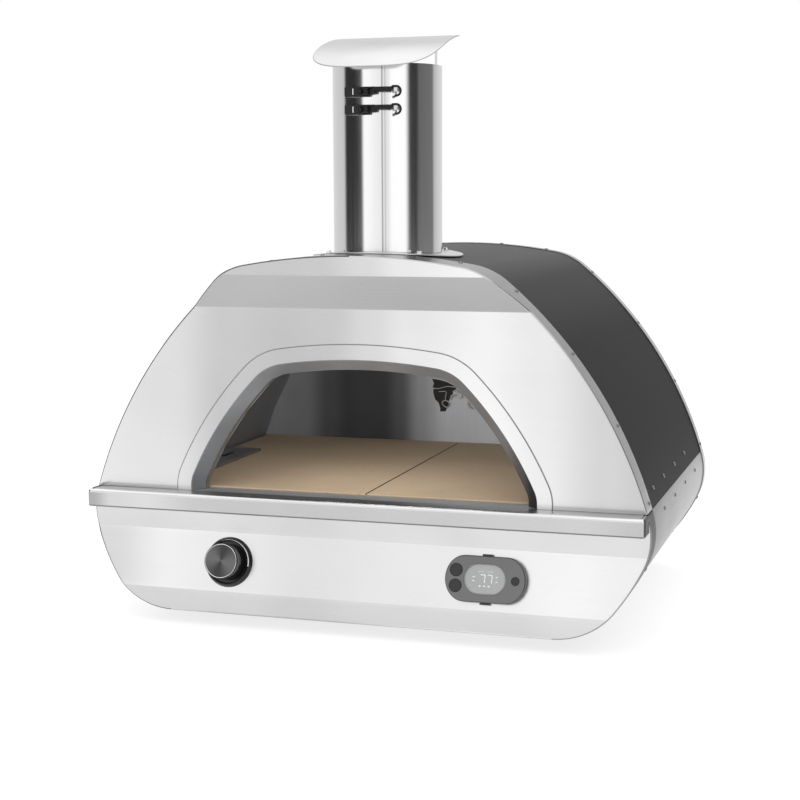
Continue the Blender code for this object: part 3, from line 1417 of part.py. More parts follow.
def make_latch(tag, height):
    location, rotation = latch_frame(height)
    place = Matrix.Translation(location) @ Matrix.Rotation(rotation[2], 4, 'Z')
    tall = LATCH_HALF_HEIGHT
    pivot = LATCH_PIVOT_X
    rise = LATCH_PIVOT_RISE
    eye = LATCH_EYE
    bore = LATCH_PIN_RADIUS + LATCH_PIN_CLEARANCE
    tube = turned([(0, -tall * 2), (SLEEVE_RADIUS + GAP, -tall * 2),
                   (SLEEVE_RADIUS + GAP, tall * 2), (0, tall * 2)], "Z", TURN_SIDES * 3)

    def add_moving(name, mesh, x, height_out):
        origin = place @ Vector((x, out(height_out), 0))
        shift = Matrix.Translation(-origin) @ place
        add_object(name + tag, transformed(mesh, shift), BLACK_LATCH, origin)

    pad = box((LATCH_PAD_LEFT, LATCH_PAD_RIGHT), (out(LATCH_PAD_TOP), 0), (-tall, tall))
    pad = cut(pad, tube.copy())
    inner = LATCH_NECK_HALF + GAP
    outer = inner + LATCH_CHEEK
    cheeks = []
    for side in (-1, 1):
        z = sorted((side * inner, side * outer))
        cheeks.append(box((pivot - eye, pivot + eye),
                          (out(rise + eye), out(LATCH_PAD_TOP / 2)), z))
    pin = pin_bar(pivot, rise, LATCH_PIN_RADIUS, outer - LATCH_CHEEK / 2)
    base = fused(fused(pad, *cheeks), pin)
    add_object("latch_base_" + tag, transformed(base, place), BLACK_LATCH)

    left = LATCH_LEVER_LEFT
    under = LATCH_LEVER_UNDER
    top = under + LATCH_LEVER_SHEET
    grip = left + LATCH_GRIP_LENGTH
    lift = LATCH_GRIP_LIFT
    handle = prism([(left, out(under + lift)), (grip, out(under)), (LATCH_HANDLE_END, out(under)),
                    (LATCH_HANDLE_END, out(top)), (grip, out(top)), (left, out(top + lift))],
                   -tall, tall, "Z")
    head = []
    steps = TURN_SIDES // 4
    for k in range(steps + 1):
        angle = math.pi * k / steps
        head.append((pivot + eye * math.cos(angle), out(rise + eye * math.sin(angle))))
    wire = LATCH_WIRE_X
    boss = LATCH_WIRE_RISE + LATCH_BOSS
    neck = [(LATCH_HANDLE_END - LATCH_LEVER_SHEET, out(under)), (pivot, out(under))] + head
    neck += [(wire + LATCH_BOSS, out(boss)), (wire - LATCH_BOSS / 2, out(boss)),
             (LATCH_HANDLE_END - LATCH_LEVER_SHEET, out(top))]
    neck = prism(neck, -LATCH_NECK_HALF, LATCH_NECK_HALF, "Z")
    hole = pin_bar(wire, LATCH_WIRE_RISE, LATCH_WIRE_RADIUS + LATCH_PIN_CLEARANCE, tall)
    lever = cut(fused(handle, neck), pin_bar(pivot, rise, bore, tall), hole)
    add_moving("latch_lever_", lever, pivot, rise)

    y = out(LATCH_WIRE_RISE)
    half = LATCH_WIRE_HALF
    route = [(wire, y, -half), (wire, y, half), (LATCH_WIRE_END, y, half),
             (LATCH_WIRE_END, y, -half)]
    bail = bent_tube(route, LATCH_WIRE_RADIUS, LATCH_WIRE_BEND, 2, closed=True)
    add_moving("latch_bail_", bail, wire, LATCH_WIRE_RISE)

    stop = LATCH_WIRE_END - LATCH_WIRE_RADIUS - GAP
    low = LATCH_CATCH_HALF
    pad = box((LATCH_CATCH_START, stop), (out(LATCH_CATCH_TOP), 0), (-low, low))
    pad = cut(pad, tube)
    post = prism([(stop - LATCH_POST_SHEET, out(0)), (stop, out(0)),
                  (stop, out(LATCH_POST_RISE - LATCH_POST_SHEET / 2)),
                  (stop - LATCH_POST_SHEET / 2, out(LATCH_POST_RISE)),
                  (stop - LATCH_POST_SHEET, out(LATCH_POST_RISE - LATCH_POST_SHEET / 2))],
                 -low, low, "Z")
    add_object("latch_catch_" + tag, transformed(fused(pad, post), place), BLACK_LATCH)


# Feet

def foot_places():
    """(x, y) of the four feet."""
    x = flat_half() - FOOT_SIDE
    return [(side * x, y) for side in (-1, 1) for y in (FOOT_INSET, BODY_DEPTH - FOOT_INSET)]


def make_feet():
    top = FOOT_HEIGHT + skin_inset() - GAP
    head = top + GAP + SKIN_SHEET + GAP
    profile = [(0, 0), (FOOT_RADIUS, 0), (FOOT_TOP_RADIUS, top), (FOOT_STUD_RADIUS, top),
               (FOOT_STUD_RADIUS, head), (FOOT_NUT_RADIUS, head),
               (FOOT_NUT_RADIUS, head + FOOT_NUT_HEIGHT),
               (FOOT_STUD_RADIUS, head + FOOT_NUT_HEIGHT),
               (FOOT_STUD_RADIUS, head + FOOT_NUT_HEIGHT * 2),
               (0, head + FOOT_NUT_HEIGHT * 2)]
    for x, y in foot_places():
        depth = "front" if y < BODY_DEPTH / 2 else "rear"
        side = "left" if x < 0 else "right"
        add_object(f"foot_{depth}_{side}", turned(profile, "Z", FINE_SIDES), RUBBER, (x, y, 0))


def front_reach():
    """How far the frontmost piece stands ahead of the upper front panel."""
    lean = control_lean()
    knob = KNOB_FRONT * math.cos(lean) + (KNOB_RADIUS - KNOB_EDGE) * math.sin(lean)
    return max(CROWN_REACH, knob - control_depth(CONTROL_HEIGHT))


def main():
    global ROOT
    clear_scene()
    ROOT = bpy.data.objects.new("oven_origin", None)
    bpy.context.scene.collection.objects.link(ROOT)
    ROOT.location = (0, (front_reach() - BODY_DEPTH - INLET_REACH) / 2, 0)
    make_front_panels()
    make_ledge()
    make_mouth()
    make_skins()
    make_rear_panel()
    make_chamber()
    make_floor()
    make_burner()
    make_probe()
    make_knob()
    make_gas_line()
    make_thermometer()
    make_chimney()
    make_cap()
    make_latch("upper", SLEEVE_TOP - LATCH_DROP)
    make_latch("lower", SLEEVE_TOP - LATCH_DROP - LATCH_PITCH)
    make_feet()


main()
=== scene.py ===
"""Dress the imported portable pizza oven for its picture.

Every length is in metres in the row frame, and every angle in radians, except where a
name ends in _mm or _deg. A depth is measured back from the plane of the upper front
panel, at y = FACE_Y. A patch's tone is the number of its finish in its piece.
"""

import logging
import math
from dataclasses import dataclass, field, replace
from enum import Enum, IntEnum
from functools import reduce

import bmesh
import bpy
import numpy as np
from mathutils import Matrix, Vector
from numpy.typing import ArrayLike


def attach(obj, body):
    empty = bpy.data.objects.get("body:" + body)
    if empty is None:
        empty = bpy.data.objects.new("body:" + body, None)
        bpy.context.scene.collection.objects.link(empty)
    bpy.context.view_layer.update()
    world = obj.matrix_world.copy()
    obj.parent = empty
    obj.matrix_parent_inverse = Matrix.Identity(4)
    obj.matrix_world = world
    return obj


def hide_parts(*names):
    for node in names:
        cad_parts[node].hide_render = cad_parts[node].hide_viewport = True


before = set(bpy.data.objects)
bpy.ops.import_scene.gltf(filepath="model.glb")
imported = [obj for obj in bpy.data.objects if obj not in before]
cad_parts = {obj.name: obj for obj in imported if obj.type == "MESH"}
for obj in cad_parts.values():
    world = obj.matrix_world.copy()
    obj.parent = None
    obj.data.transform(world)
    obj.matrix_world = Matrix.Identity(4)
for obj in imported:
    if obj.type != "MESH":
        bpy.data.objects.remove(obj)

LOG = logging.getLogger("pizza_oven")
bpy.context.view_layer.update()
FACE_Y = -0.268848
ROOT_BODY = "oven"
PIPE_AXIS = Matrix.Translation((0, FACE_Y + 0.1345, 0))
PIPE_RADIUS = 0.0750
UPRIGHT = Matrix.Rotation(math.pi / 2, 4, 'X')
BODY_DEPTH = 0.5595
FLANGE = 0.0395
SHEET = 0.0012
GAP = 0.0003

Array = np.ndarray
Socket = bpy.types.NodeSocket
Triple = tuple[float, float, float]
Pair = tuple[float, float]
Pairs = tuple[Pair, ...]


# Shaders

COAT_ROUGHNESS = 0.05
SMOOTHEST = 0.02
SPECK_SCALE = 0.37
SPECK_RANGE = (0.66, 0.72)


class Slot(Enum):
    """Material slots, one named for each new piece."""

    STEEL = "brushed_steel"
    PAINT = "dark_paint"
    CHAMBER = "chamber_steel"
    STONE = "baking_stone"
    GLOSS = "black_gloss"
    DARK = "dark_metal"
    LATCH = "black_latch"
    PLASTIC = "grey_plastic"
    BUTTON = "button_rubber"
    WINDOW = "clear_window"
    DISPLAY = "display"


class Grain(Enum):
    """How a finish's fine pattern is stretched, as features per metre along X, Y and Z."""

    EVEN = (1.0, 1.0, 1.0)
    ALONG_X = (6.0, 900.0, 900.0)
    ALONG_Y = (900.0, 6.0, 900.0)
    ALONG_Z = (900.0, 900.0, 6.0)


class Axis(Enum):
    """Axis along which a finish changes."""

    X = "X"
    Y = "Y"
    Z = "Z"


def grey(level: float) -> tuple[float, float, float, float]:
    """An opaque grey of a level."""
    return (level, level, level, 1.0)


@dataclass(frozen=True)
class Shading:
    """A node tree, with short ways to add the kinds of node that the finishes need."""

    tree: bpy.types.NodeTree

    def feed(self, target: Socket, value: Socket | object) -> None:
        """Link a socket to an input, or set the input's own value."""
        if isinstance(value, Socket):
            self.tree.links.new(value, target)
        else:
            target.default_value = value

    def node(self, kind: str, inputs: dict[str | int, object] | None = None,
             **settings: str) -> bpy.types.Node:
        """Add a node.

        Args:
            kind: Type of the node, without the words ShaderNode.
            inputs: Socket or value for each input, by its name or number.
            settings: Properties of the node.

        Returns:
            The node.
        """
        node = self.tree.nodes.new("ShaderNode" + kind)
        for name, setting in settings.items():
            setattr(node, name, setting)
        for key, value in (inputs or {}).items():
            self.feed(node.inputs[key], value)
        return node

    def math(self, operation: str, *values: Socket | float) -> Socket:
        """Result of a Math node."""
        return self.node("Math", dict(enumerate(values)), operation=operation).outputs["Value"]

    def mapped(self, source: Socket, **places: Triple | list[float]) -> Socket:
        """A vector moved, turned or stretched by a Mapping node."""
        return self.node("Mapping", {"Vector": source, **places}).outputs["Vector"]

    def axes(self, source: Socket) -> bpy.types.NodeOutputs:
        """X, Y and Z sockets of a vector."""
        return self.node("SeparateXYZ", {"Vector": source}).outputs

    def coordinates(self, kind: str = "Object") -> Socket:
        """Texture coordinates, an object's own ones unless another kind is named."""
        return self.node("TexCoord").outputs[kind]

    def noise(self, grain: Grain, scale: float, detail: float) -> Socket:
        """Noise on Object coordinates.

        Args:
            grain: Stretch along each axis.
            scale: Features per metre before the stretch.
            detail: Octaves.

        Returns:
            The factor's socket.
        """
        place = self.mapped(self.coordinates(), Scale=grain.value)
        return self.node("TexNoise", {"Vector": place, "Scale": scale, "Detail": detail,
                                      "Roughness": 0.6}).outputs["Fac"]

    def ranged(self, source: Socket, low: float, high: float, start: float = 0.3,
               end: float = 0.7, **settings: str) -> Socket:
        """Stretch a value's run from start to end, a noise's middle by itself, onto low to high."""
        return self.node("MapRange", {"Value": source, "From Min": start, "From Max": end,
                                      "To Min": low, "To Max": high}, **settings).outputs["Result"]

    def around(self, source: Socket, middle: float, spread: float) -> Socket:
        """Stretch a noise's middle onto a spread each side of a value."""
        return self.ranged(source, middle - spread, middle + spread)

    def ramp(self, source: Socket, stops: list[Pair],
             interpolation: str = 'LINEAR') -> Socket:
        """Grey ramp through stops of (place from 0 to 1, level)."""
        node = self.node("ValToRGB", {"Fac": source})
        node.color_ramp.interpolation = interpolation
        points = node.color_ramp.elements
        while len(points) < len(stops):
            points.new(0.5)
        for point, (place, level) in zip(points, stops):
            point.position = place
            point.color = grey(level)
        return node.outputs["Color"]

    def mix(self, share: Socket, first: Socket | tuple[float, ...],
            second: Socket | tuple[float, ...], blend: str = 'MIX') -> Socket:
        """Blend a first colour towards a second one by a share."""
        node = self.node("Mix", {"Factor": share}, data_type='RGBA', blend_type=blend)
        for target, value in zip([s for s in node.inputs if s.type == 'RGBA'], (first, second)):
            self.feed(target, value)
        return next(s for s in node.outputs if s.type == 'RGBA')

    def tinted(self, colour: Triple, level: Socket) -> Socket:
        """A colour times a level."""
        return self.node("VectorMath", {0: colour, "Scale": level},
                         operation='SCALE').outputs["Vector"]


@dataclass(frozen=True)
class Finish:
    """One surface finish, built into a Principled material.

    Attributes:
        name: Name of the material.
        colour: Linear base colour.
        roughness: Middle of the roughness.
        metallic: Metallic value.
        spread: How far the grain moves the roughness up and down.
        tint_spread: How far the grain moves the colour's brightness.
        cloud: How far broad patches move the colour's brightness.
        cloud_scale: Broad patches per metre.
        grain: Direction of the grain.
        bump: Height of the grain in metres.
        scale: Features per metre of a pattern without direction.
        coat: Weight of the clear coat.
        alpha: Opacity.
        specks: Share of brightness lost in scattered specks.
        ior: Index of refraction, which sets how much a non-metal reflects.
    """

    name: str
    colour: Triple
    roughness: float
    metallic: float = 0.0
    spread: float = 0.0
    tint_spread: float = 0.0
    cloud: float = 0.0
    cloud_scale: float = 7.0
    grain: Grain = Grain.EVEN
    bump: float = 0.0
    scale: float = 400.0
    coat: float = 0.0
    alpha: float = 1.0
    specks: float = 0.0
    ior: float = 1.5

    def build(self) -> bpy.types.Material:
        """Make the material."""
        mat = bpy.data.materials.new(self.name)
        mat.use_nodes = True
        self._wire(Shading(mat.node_tree), mat.node_tree.nodes["Principled BSDF"].inputs)
        return mat

    def _wire(self, shade: Shading, sockets: bpy.types.NodeInputs) -> None:
        """Set the shader's values, then let the patterns move roughness, colour and height."""
        for key, value in (("Roughness", self.roughness), ("Metallic", self.metallic),
                           ("Coat Weight", self.coat), ("Coat Roughness", COAT_ROUGHNESS),
                           ("Alpha", self.alpha), ("IOR", self.ior)):
            sockets[key].default_value = value
        scale = self.scale if self.grain is Grain.EVEN else 1.0
        fine = shade.noise(self.grain, scale, detail=4.0)
        if self.spread:
            shade.feed(sockets["Roughness"],
                       shade.ranged(fine, max(SMOOTHEST, self.roughness - self.spread),
                                    min(1.0, self.roughness + self.spread)))
        shade.feed(sockets["Base Color"], self._colour(shade, fine))
        if self.bump:
            bump = shade.node("Bump", {"Height": fine, "Distance": self.bump})
            shade.feed(sockets["Normal"], bump.outputs["Normal"])

    def _colour(self, shade: Shading, fine: Socket) -> Socket | tuple[float, ...]:
        """Base colour times the fine pattern, the broad patches and the specks."""
        parts = []
        if self.tint_spread:
            parts.append(shade.around(fine, 1.0, self.tint_spread))
        if self.cloud:
            broad = shade.noise(Grain.EVEN, self.cloud_scale, detail=2.0)
            parts.append(shade.around(broad, 1.0, self.cloud))
        if self.specks:
            dots = shade.noise(Grain.EVEN, self.scale * SPECK_SCALE, detail=1.0)
            parts.append(shade.ranged(dots, 1.0, 1.0 - self.specks, *SPECK_RANGE))
        if not parts:
            return (*self.colour, 1.0)
        return shade.tinted(self.colour, reduce(lambda a, b: shade.math('MULTIPLY', a, b), parts))


@dataclass(frozen=True)
class SpunFinish(Finish):
    """Dark metal brushed in rays from a centre, with broad light and dark sectors painted into its
    colour: a painted sheen in place of the light that spun metal catches by turns.

    Attributes:
        centre: Point of the axis, in the row frame.
        lean: Angle by which the axis is turned up out of -Y.
        rays: Fine rays round the circle.
        sectors: Depth of the broad light and dark sectors of painted sheen.
        first: Angle at which the painted sheen's sectors start.
    """

    centre: Triple = (0.0, 0.0, 0.0)
    lean: float = 0.0
    rays: float = 60.0
    sectors: float = 0.9
    first: float = 0.5

    def _wire(self, shade: Shading, sockets: bpy.types.NodeInputs) -> None:
        """Let the angle round the axis drive the brightness and the roughness."""
        sockets["Metallic"].default_value = self.metallic
        spot = shade.mapped(shade.coordinates(), Location=[-c for c in self.centre])
        axes = shade.axes(shade.mapped(spot, Rotation=(self.lean - math.pi / 2, 0.0, 0.0)))
        angle = shade.math('ARCTAN2', axes["Y"], axes["X"])
        # The broad sectors are painted sheen; the fine rays are the brushing itself.
        wave = shade.math('COSINE', shade.math('MULTIPLY_ADD', angle, 2.0, self.first))
        broad = shade.ranged(wave, 1 - self.sectors, 1 + self.sectors, -1.0, 1.0)
        rays = shade.node("TexNoise", {"W": angle, "Scale": self.rays, "Detail": 3.0},
                          noise_dimensions='1D').outputs["Fac"]
        level = shade.math('MULTIPLY', broad, shade.around(rays, 1.0, self.tint_spread))
        shade.feed(sockets["Base Color"], shade.tinted(self.colour, level))
        shade.feed(sockets["Roughness"], shade.around(rays, self.roughness, self.spread))


@dataclass(frozen=True)
class PaintedLightFinish(Finish):
    """A finish whose brightness runs in soft bands along one axis: painted light, shade and
    reflections laid into the colour, fixed whatever the lamps or the view.

    Attributes:
        step: Y past which the bands show.
        axis: Axis along which they follow each other.
        span: Length over which they run, centred on zero.
        bands: (place, brightness) of each stop of the painted light and shade.
    """

    step: float = -1.0
    axis: Axis = Axis.X
    span: float = 0.70
    bands: Pairs = ()

    def _colour(self, shade: Shading, fine: Socket) -> Socket:
        """The plain colour, times a ramp of painted light and shade along the axis wherever Y is
        past the step.
        """
        plain = super()._colour(shade, fine)
        axes = shade.axes(shade.coordinates())
        share = shade.ranged(axes[self.axis.value], 0.0, 1.0, -self.span / 2, self.span / 2)
        stops = [(place / self.span + 0.5, level) for place, level in self.bands]
        past = shade.math('GREATER_THAN', axes["Y"], self.step)
        return shade.mix(past, plain, shade.ramp(share, stops, 'EASE'), 'MULTIPLY')


@dataclass
class Finishes:
    """The finishes of the oven, each built once."""

    made: dict[str, bpy.types.Material] = field(default_factory=dict)

    def get(self, finish: Finish) -> bpy.types.Material:
        """Return the material of a finish, made on its first use."""
        if finish.name not in self.made:
            self.made[finish.name] = finish.build()
        return self.made[finish.name]


def even(level: float) -> Triple:
    """A neutral colour of a level."""
    return (level, level, level)


STEEL_X = Finish("steel_brushed_across", even(0.60), 0.25, 1.0, 0.03, 0.015, 0.09, 4.0,
                 Grain.ALONG_X)
# The upright strips of the lower front panel: the same steel kept below the control face's level,
# as painted shade.
UPRIGHT_SHADE = replace(STEEL_X, name="steel_upright_painted_shade", colour=even(0.61))
# Darker copy of the front steel for the brow band that leans forward over the mouth, the upper fold
# and the rear rim: painted shade.
BROW_SHADE = replace(STEEL_X, name="steel_brow_painted_shade", colour=even(0.43), cloud=0.06)
# The cap takes only the brow's other settings; its colour is its own.
STEEL_CAP = replace(BROW_SHADE, name="steel_cap", colour=even(0.57), cloud_scale=9.0)
# Darker copy of the steel for the ledge's top and its lid: painted shade.
LEDGE_TOP_SHADE = replace(STEEL_X, name="steel_ledge_top_painted_shade", colour=even(0.52), roughness=0.34,
                    cloud=0.05, cloud_scale=5.0)
# Darker copy of the panels' steel for their side rims and the lower front's fold: painted shade.
RIM_SHADE = Finish("steel_rim_painted_shade", even(0.27), 0.30, 1.0, 0.04, 0.02, 0.10, 5.0, Grain.ALONG_Y)
STEEL_Z = Finish("steel_brushed_up", even(0.76), 0.13, 1.0, 0.03, 0.02, grain=Grain.ALONG_Z)
# Darker copies of the sleeve's steel for the faces beside its slit and the cap's rolled edge:
# painted shade.
SEAM_SHADE_DARK = replace(STEEL_Z, name="seam_edge_painted_shade_dark", colour=even(0.40), roughness=0.20)
SEAM_SHADE_SOFT = replace(SEAM_SHADE_DARK, name="seam_edge_painted_shade_soft", colour=even(0.60))
# Darker copy of the trim's steel for its recessed throat, darker still on the right side: painted
# shade.
THROAT_SHADE = PaintedLightFinish("steel_throat_painted_shade", (0.27, 0.28, 0.295), 0.42, 0.6, 0.05, 0.05, 0.16, 9.0,
                      Grain.ALONG_Y, bands=((-0.300, 1.0), (0.195, 1.0), (0.222, 0.50),
                                            (0.236, 0.12), (0.300, 0.10)))
# Base shell steel, darker towards the front and brighter towards the back: painted reflections.
STEEL_Y = PaintedLightFinish("steel_brushed_back", even(0.22), 0.30, 1.0, 0.03, 0.015, 0.08, 5.0,
                       Grain.ALONG_Y, axis=Axis.Y, bands=(
                           (-0.23, 0.33), (-0.20, 0.50), (-0.12, 0.74), (0.05, 1.0), (0.22, 1.25)))
# Front steel with broad brighter and darker bands from side to side: painted reflections.
FRONT = PaintedLightFinish("steel_front", even(0.60), 0.25, 1.0, 0.03, 0.015, 0.05, 4.0, Grain.ALONG_X,
                     span=0.80, bands=(
                         (-0.38, 1.15), (-0.27, 1.09), (-0.19, 0.84), (-0.10, 0.80),
                         (-0.04, 0.82), (0.02, 1.0), (0.07, 1.18), (0.176, 1.32), (0.25, 1.22),
                         (0.334, 0.94), (0.38, 0.85)))
# Brighter copy of the front steel for the control face, which leans up to the light, with its own
# bands: painted light and reflections.
STEEL_LIT = replace(FRONT, name="steel_control_face_painted_light", colour=even(0.70), cloud=0.04, bands=(
    (-0.36, 0.92), (-0.28, 1.10), (-0.20, 1.02), (-0.06, 0.94), (0.08, 0.98), (0.30, 1.10),
    (0.36, 1.05)))
# Darker copy of the front steel for the ledge's front face, with its own bands: painted shade and
# reflections.
LEDGE_FACE = replace(FRONT, name="steel_ledge_face", colour=even(0.51), roughness=0.26,
                     cloud_scale=5.0, bands=(
                         (-0.38, 0.75), (-0.35, 1.15), (-0.30, 1.18), (-0.22, 0.96),
                         (0.10, 0.98), (0.30, 1.05), (0.38, 0.95)))
# Near-black copy of the steel for the lower front's rim and the ledge's right end: painted shade.
RIM_LOW_SHADE = replace(RIM_SHADE, name="steel_rim_low_painted_shade", colour=(0.085, 0.085, 0.086), roughness=0.40,
                  metallic=0.1, ior=1.12)
# Dark steel for the trim's outer edge and the ledge's lower fold and underside, standing for the
# shade lines there: painted shade.
EDGE_SHADE = Finish("steel_edge_painted_shade", even(0.22), 0.38, 1.0, 0.05, 0.05, scale=900.0)
# Dark strip round the trim standing for the shadow line in the gap: painted shadow.
TRIM_SHADOW_LINE = replace(EDGE_SHADE, name="trim_painted_shadow_line", colour=even(0.26), roughness=0.45)
# Near-black for the folds on the left side and on the rear panel: painted shade.
FOLD_SHADE = replace(TRIM_SHADOW_LINE, name="steel_fold_painted_shade", colour=even(0.10), metallic=0.0, ior=1.12)
STEEL_PLATE = Finish("steel_plate", even(0.62), 0.30, 1.0, 0.04, 0.03, scale=900.0)
CATCH = Finish("catch_steel", (0.62, 0.62, 0.63), 0.35, 1.0, 0.05, 0.04, scale=900.0)
POLISHED = Finish("steel_polished", even(0.70), 0.18, 1.0, 0.04, 0.02, scale=1500.0)
SCREW = Finish("screw_dulled", (0.20, 0.20, 0.205), 0.24, 1.0, 0.05, 0.05, scale=1500.0)
LINER = Finish("liner_steel", (0.41, 0.43, 0.455), 0.34, 1.0, 0.05, 0.04, 0.10, 9.0,
               Grain.ALONG_X)
# Chamber steel whose back wall carries light and dark upright bands: painted reflections.
CHAMBER = PaintedLightFinish("chamber_steel", (0.32, 0.335, 0.36), 0.50, 0.4, 0.05, 0.04, 0.06, 9.0,
                       Grain.ALONG_Z, step=FACE_Y + 0.505, bands=(
                           (-0.330, 1.65), (-0.275, 1.35), (-0.225, 0.50), (-0.190, 0.30),
                           (-0.130, 0.26), (-0.100, 0.50), (-0.066, 1.50), (-0.020, 2.30),
                           (0.100, 2.50)))
SOOT = Finish("guard_heat_darkened", even(0.42), 0.42, 0.8, 0.06, 0.08, 0.15, 20.0,
              Grain.ALONG_Y)
# Dark powder coat growing brighter towards the top of the body: painted sheen.
SKIN = PaintedLightFinish("skin_powder_coat", (0.010, 0.010, 0.0102), 0.42, 0.0, 0.06, 0.12,
                    bump=0.00004, scale=1500.0, ior=1.10, axis=Axis.Z, span=1.1, bands=(
                        (0.18, 0.5), (0.38, 0.8), (0.46, 3.0), (0.49, 5.5), (0.53, 8.0)))
STONE = Finish("stone_fired", (0.60, 0.455, 0.305), 0.86, 0.0, 0.05, 0.06, 0.04, 14.0,
               bump=0.00012, scale=420.0, specks=0.16)
WOOL = Finish("wool_white", (0.80, 0.78, 0.74), 0.95, 0.0, 0.03, 0.05, bump=0.0004, scale=300.0)
BRASS = Finish("brass_machined", (0.62, 0.44, 0.16), 0.32, 1.0, 0.06, 0.05, scale=900.0)
CERAMIC = Finish("ceramic_glazed", (0.78, 0.76, 0.70), 0.30, 0.0, 0.05, 0.03, scale=900.0)
GLOSS = Finish("black_gloss", (0.010, 0.010, 0.011), 0.14, 0.0, 0.03, 0.10, scale=700.0,
               coat=0.15, ior=1.38)
CHROME = Finish("chrome", even(0.80), 0.10, 1.0, 0.02, 0.01, scale=900.0)
DARK = Finish("dark_metal", (0.09, 0.09, 0.095), 0.35, 1.0, 0.06, 0.08, scale=900.0)
LATCH = Finish("latch_blackened", (0.012, 0.012, 0.013), 0.40, 0.0, 0.08, 0.15, ior=1.33,
               scale=1100.0)
PLASTIC = Finish("plastic_grey", (0.140, 0.140, 0.142), 0.48, 0.0, 0.05, 0.05,
                 bump=0.00003, scale=2500.0)
# Near-black plastic: the cradle's own colour, and on the case's side wall and rounded edge a
# painted shade.
PLASTIC_DARK_AND_EDGE_SHADE = Finish("plastic_dark_and_edge_shade", (0.036, 0.036, 0.037), 0.42, 0.0, 0.05, 0.05,
                      scale=2500.0)
BUTTON = Finish("button_matt", (0.020, 0.020, 0.021), 0.55, 0.0, 0.05, 0.06, scale=2500.0)
WINDOW = Finish("window_clear", (0.9, 0.92, 0.92), 0.06, 0.0, 0.02, alpha=0.10, scale=300.0)
DISPLAY = Finish("display_grey", (0.310, 0.310, 0.312), 0.42, 0.0, 0.03, 0.02, 0.06, 30.0,
                 scale=1500.0)
# Near-white for the display's segments, and for the bezel's arc, which is a painted highlight.
PRINT_AND_GLINT = Finish("display_segment", (0.86, 0.87, 0.87), 0.5, 0.0, 0.03, 0.02, scale=1500.0)
BOARD = Finish("board_green", (0.02, 0.16, 0.06), 0.5, 0.0, 0.05, 0.10, scale=1500.0)
FOOT = Finish("foot_rubber", even(0.02), 0.8, 0.0, 0.06, 0.10, scale=1200.0)
SILL = Finish("steel_sill", (0.50, 0.50, 0.51), 0.45, 0.7, 0.05, 0.04, 0.05, 9.0, Grain.ALONG_X)
PATCH = Finish("patch_dark", (0.030, 0.029, 0.028), 0.60, 0.2, 0.06, 0.20, 0.25, 60.0,
               scale=900.0)
LEAD = Finish("lead_grey", even(0.62), 0.45, 0.5, 0.06, 0.08, scale=900.0)
FINISHES = Finishes()


# Curves

@dataclass(frozen=True)
class ArcChain:
    """A plane curve of tangent arcs that turn left.

    Attributes:
        start: First point.
        heading: Direction of travel at the start.
        radii: Radius of each arc.
        turns_deg: Angle of each arc.
    """

    start: Pair
    heading: float
    radii: tuple[float, ...]
    turns_deg: tuple[float, ...]

    def sample(self, step: float = math.radians(1.5)) -> tuple[Array, Array]:
        """Points along the chain: each arc's points are its radius times (sin h, -cos h).

        Args:
            step: Longest turn between two points.

        Returns:
            Points as (N, 2), and the outward normals there as (N, 2).
        """
        headings = [np.array([self.heading])]
        points = [np.array([self.start])]
        here, now = np.array(self.start), self.heading
        for radius, turn in zip(self.radii, np.radians(self.turns_deg)):
            count = max(1, math.ceil(turn / step))
            h = now + turn * np.arange(1, count + 1) / count
            arc = here + radius * np.stack([np.sin(h) - math.sin(now),
                                            math.cos(now) - np.cos(h)], axis=1)
            headings.append(h)
            points.append(arc)
            here, now = arc[-1], float(h[-1])
        h = np.concatenate(headings)
        return np.concatenate(points), np.stack([np.sin(h), -np.cos(h)], axis=1)


def climb(points: Array, nudge: float = 1e-12) -> Array:
    """Heights of an outline's points, nudged so that each is above the last."""
    return points[:, 1] + np.arange(len(points)) * nudge


def blend(at: ArrayLike, key: Array, rows: Array) -> Array:
    """Rows of a table, interpolated at given values of its key."""
    return np.stack([np.interp(at, key, column) for column in rows.T], axis=1)


def across(points: Array, normals: Array) -> tuple[Array, Array]:
    """Carry a right half that ends in the middle on over the left side."""
    return (np.vstack([points, points[-2::-1] * [-1, 1]]),
            np.vstack([normals, normals[-2::-1] * [-1, 1]]))


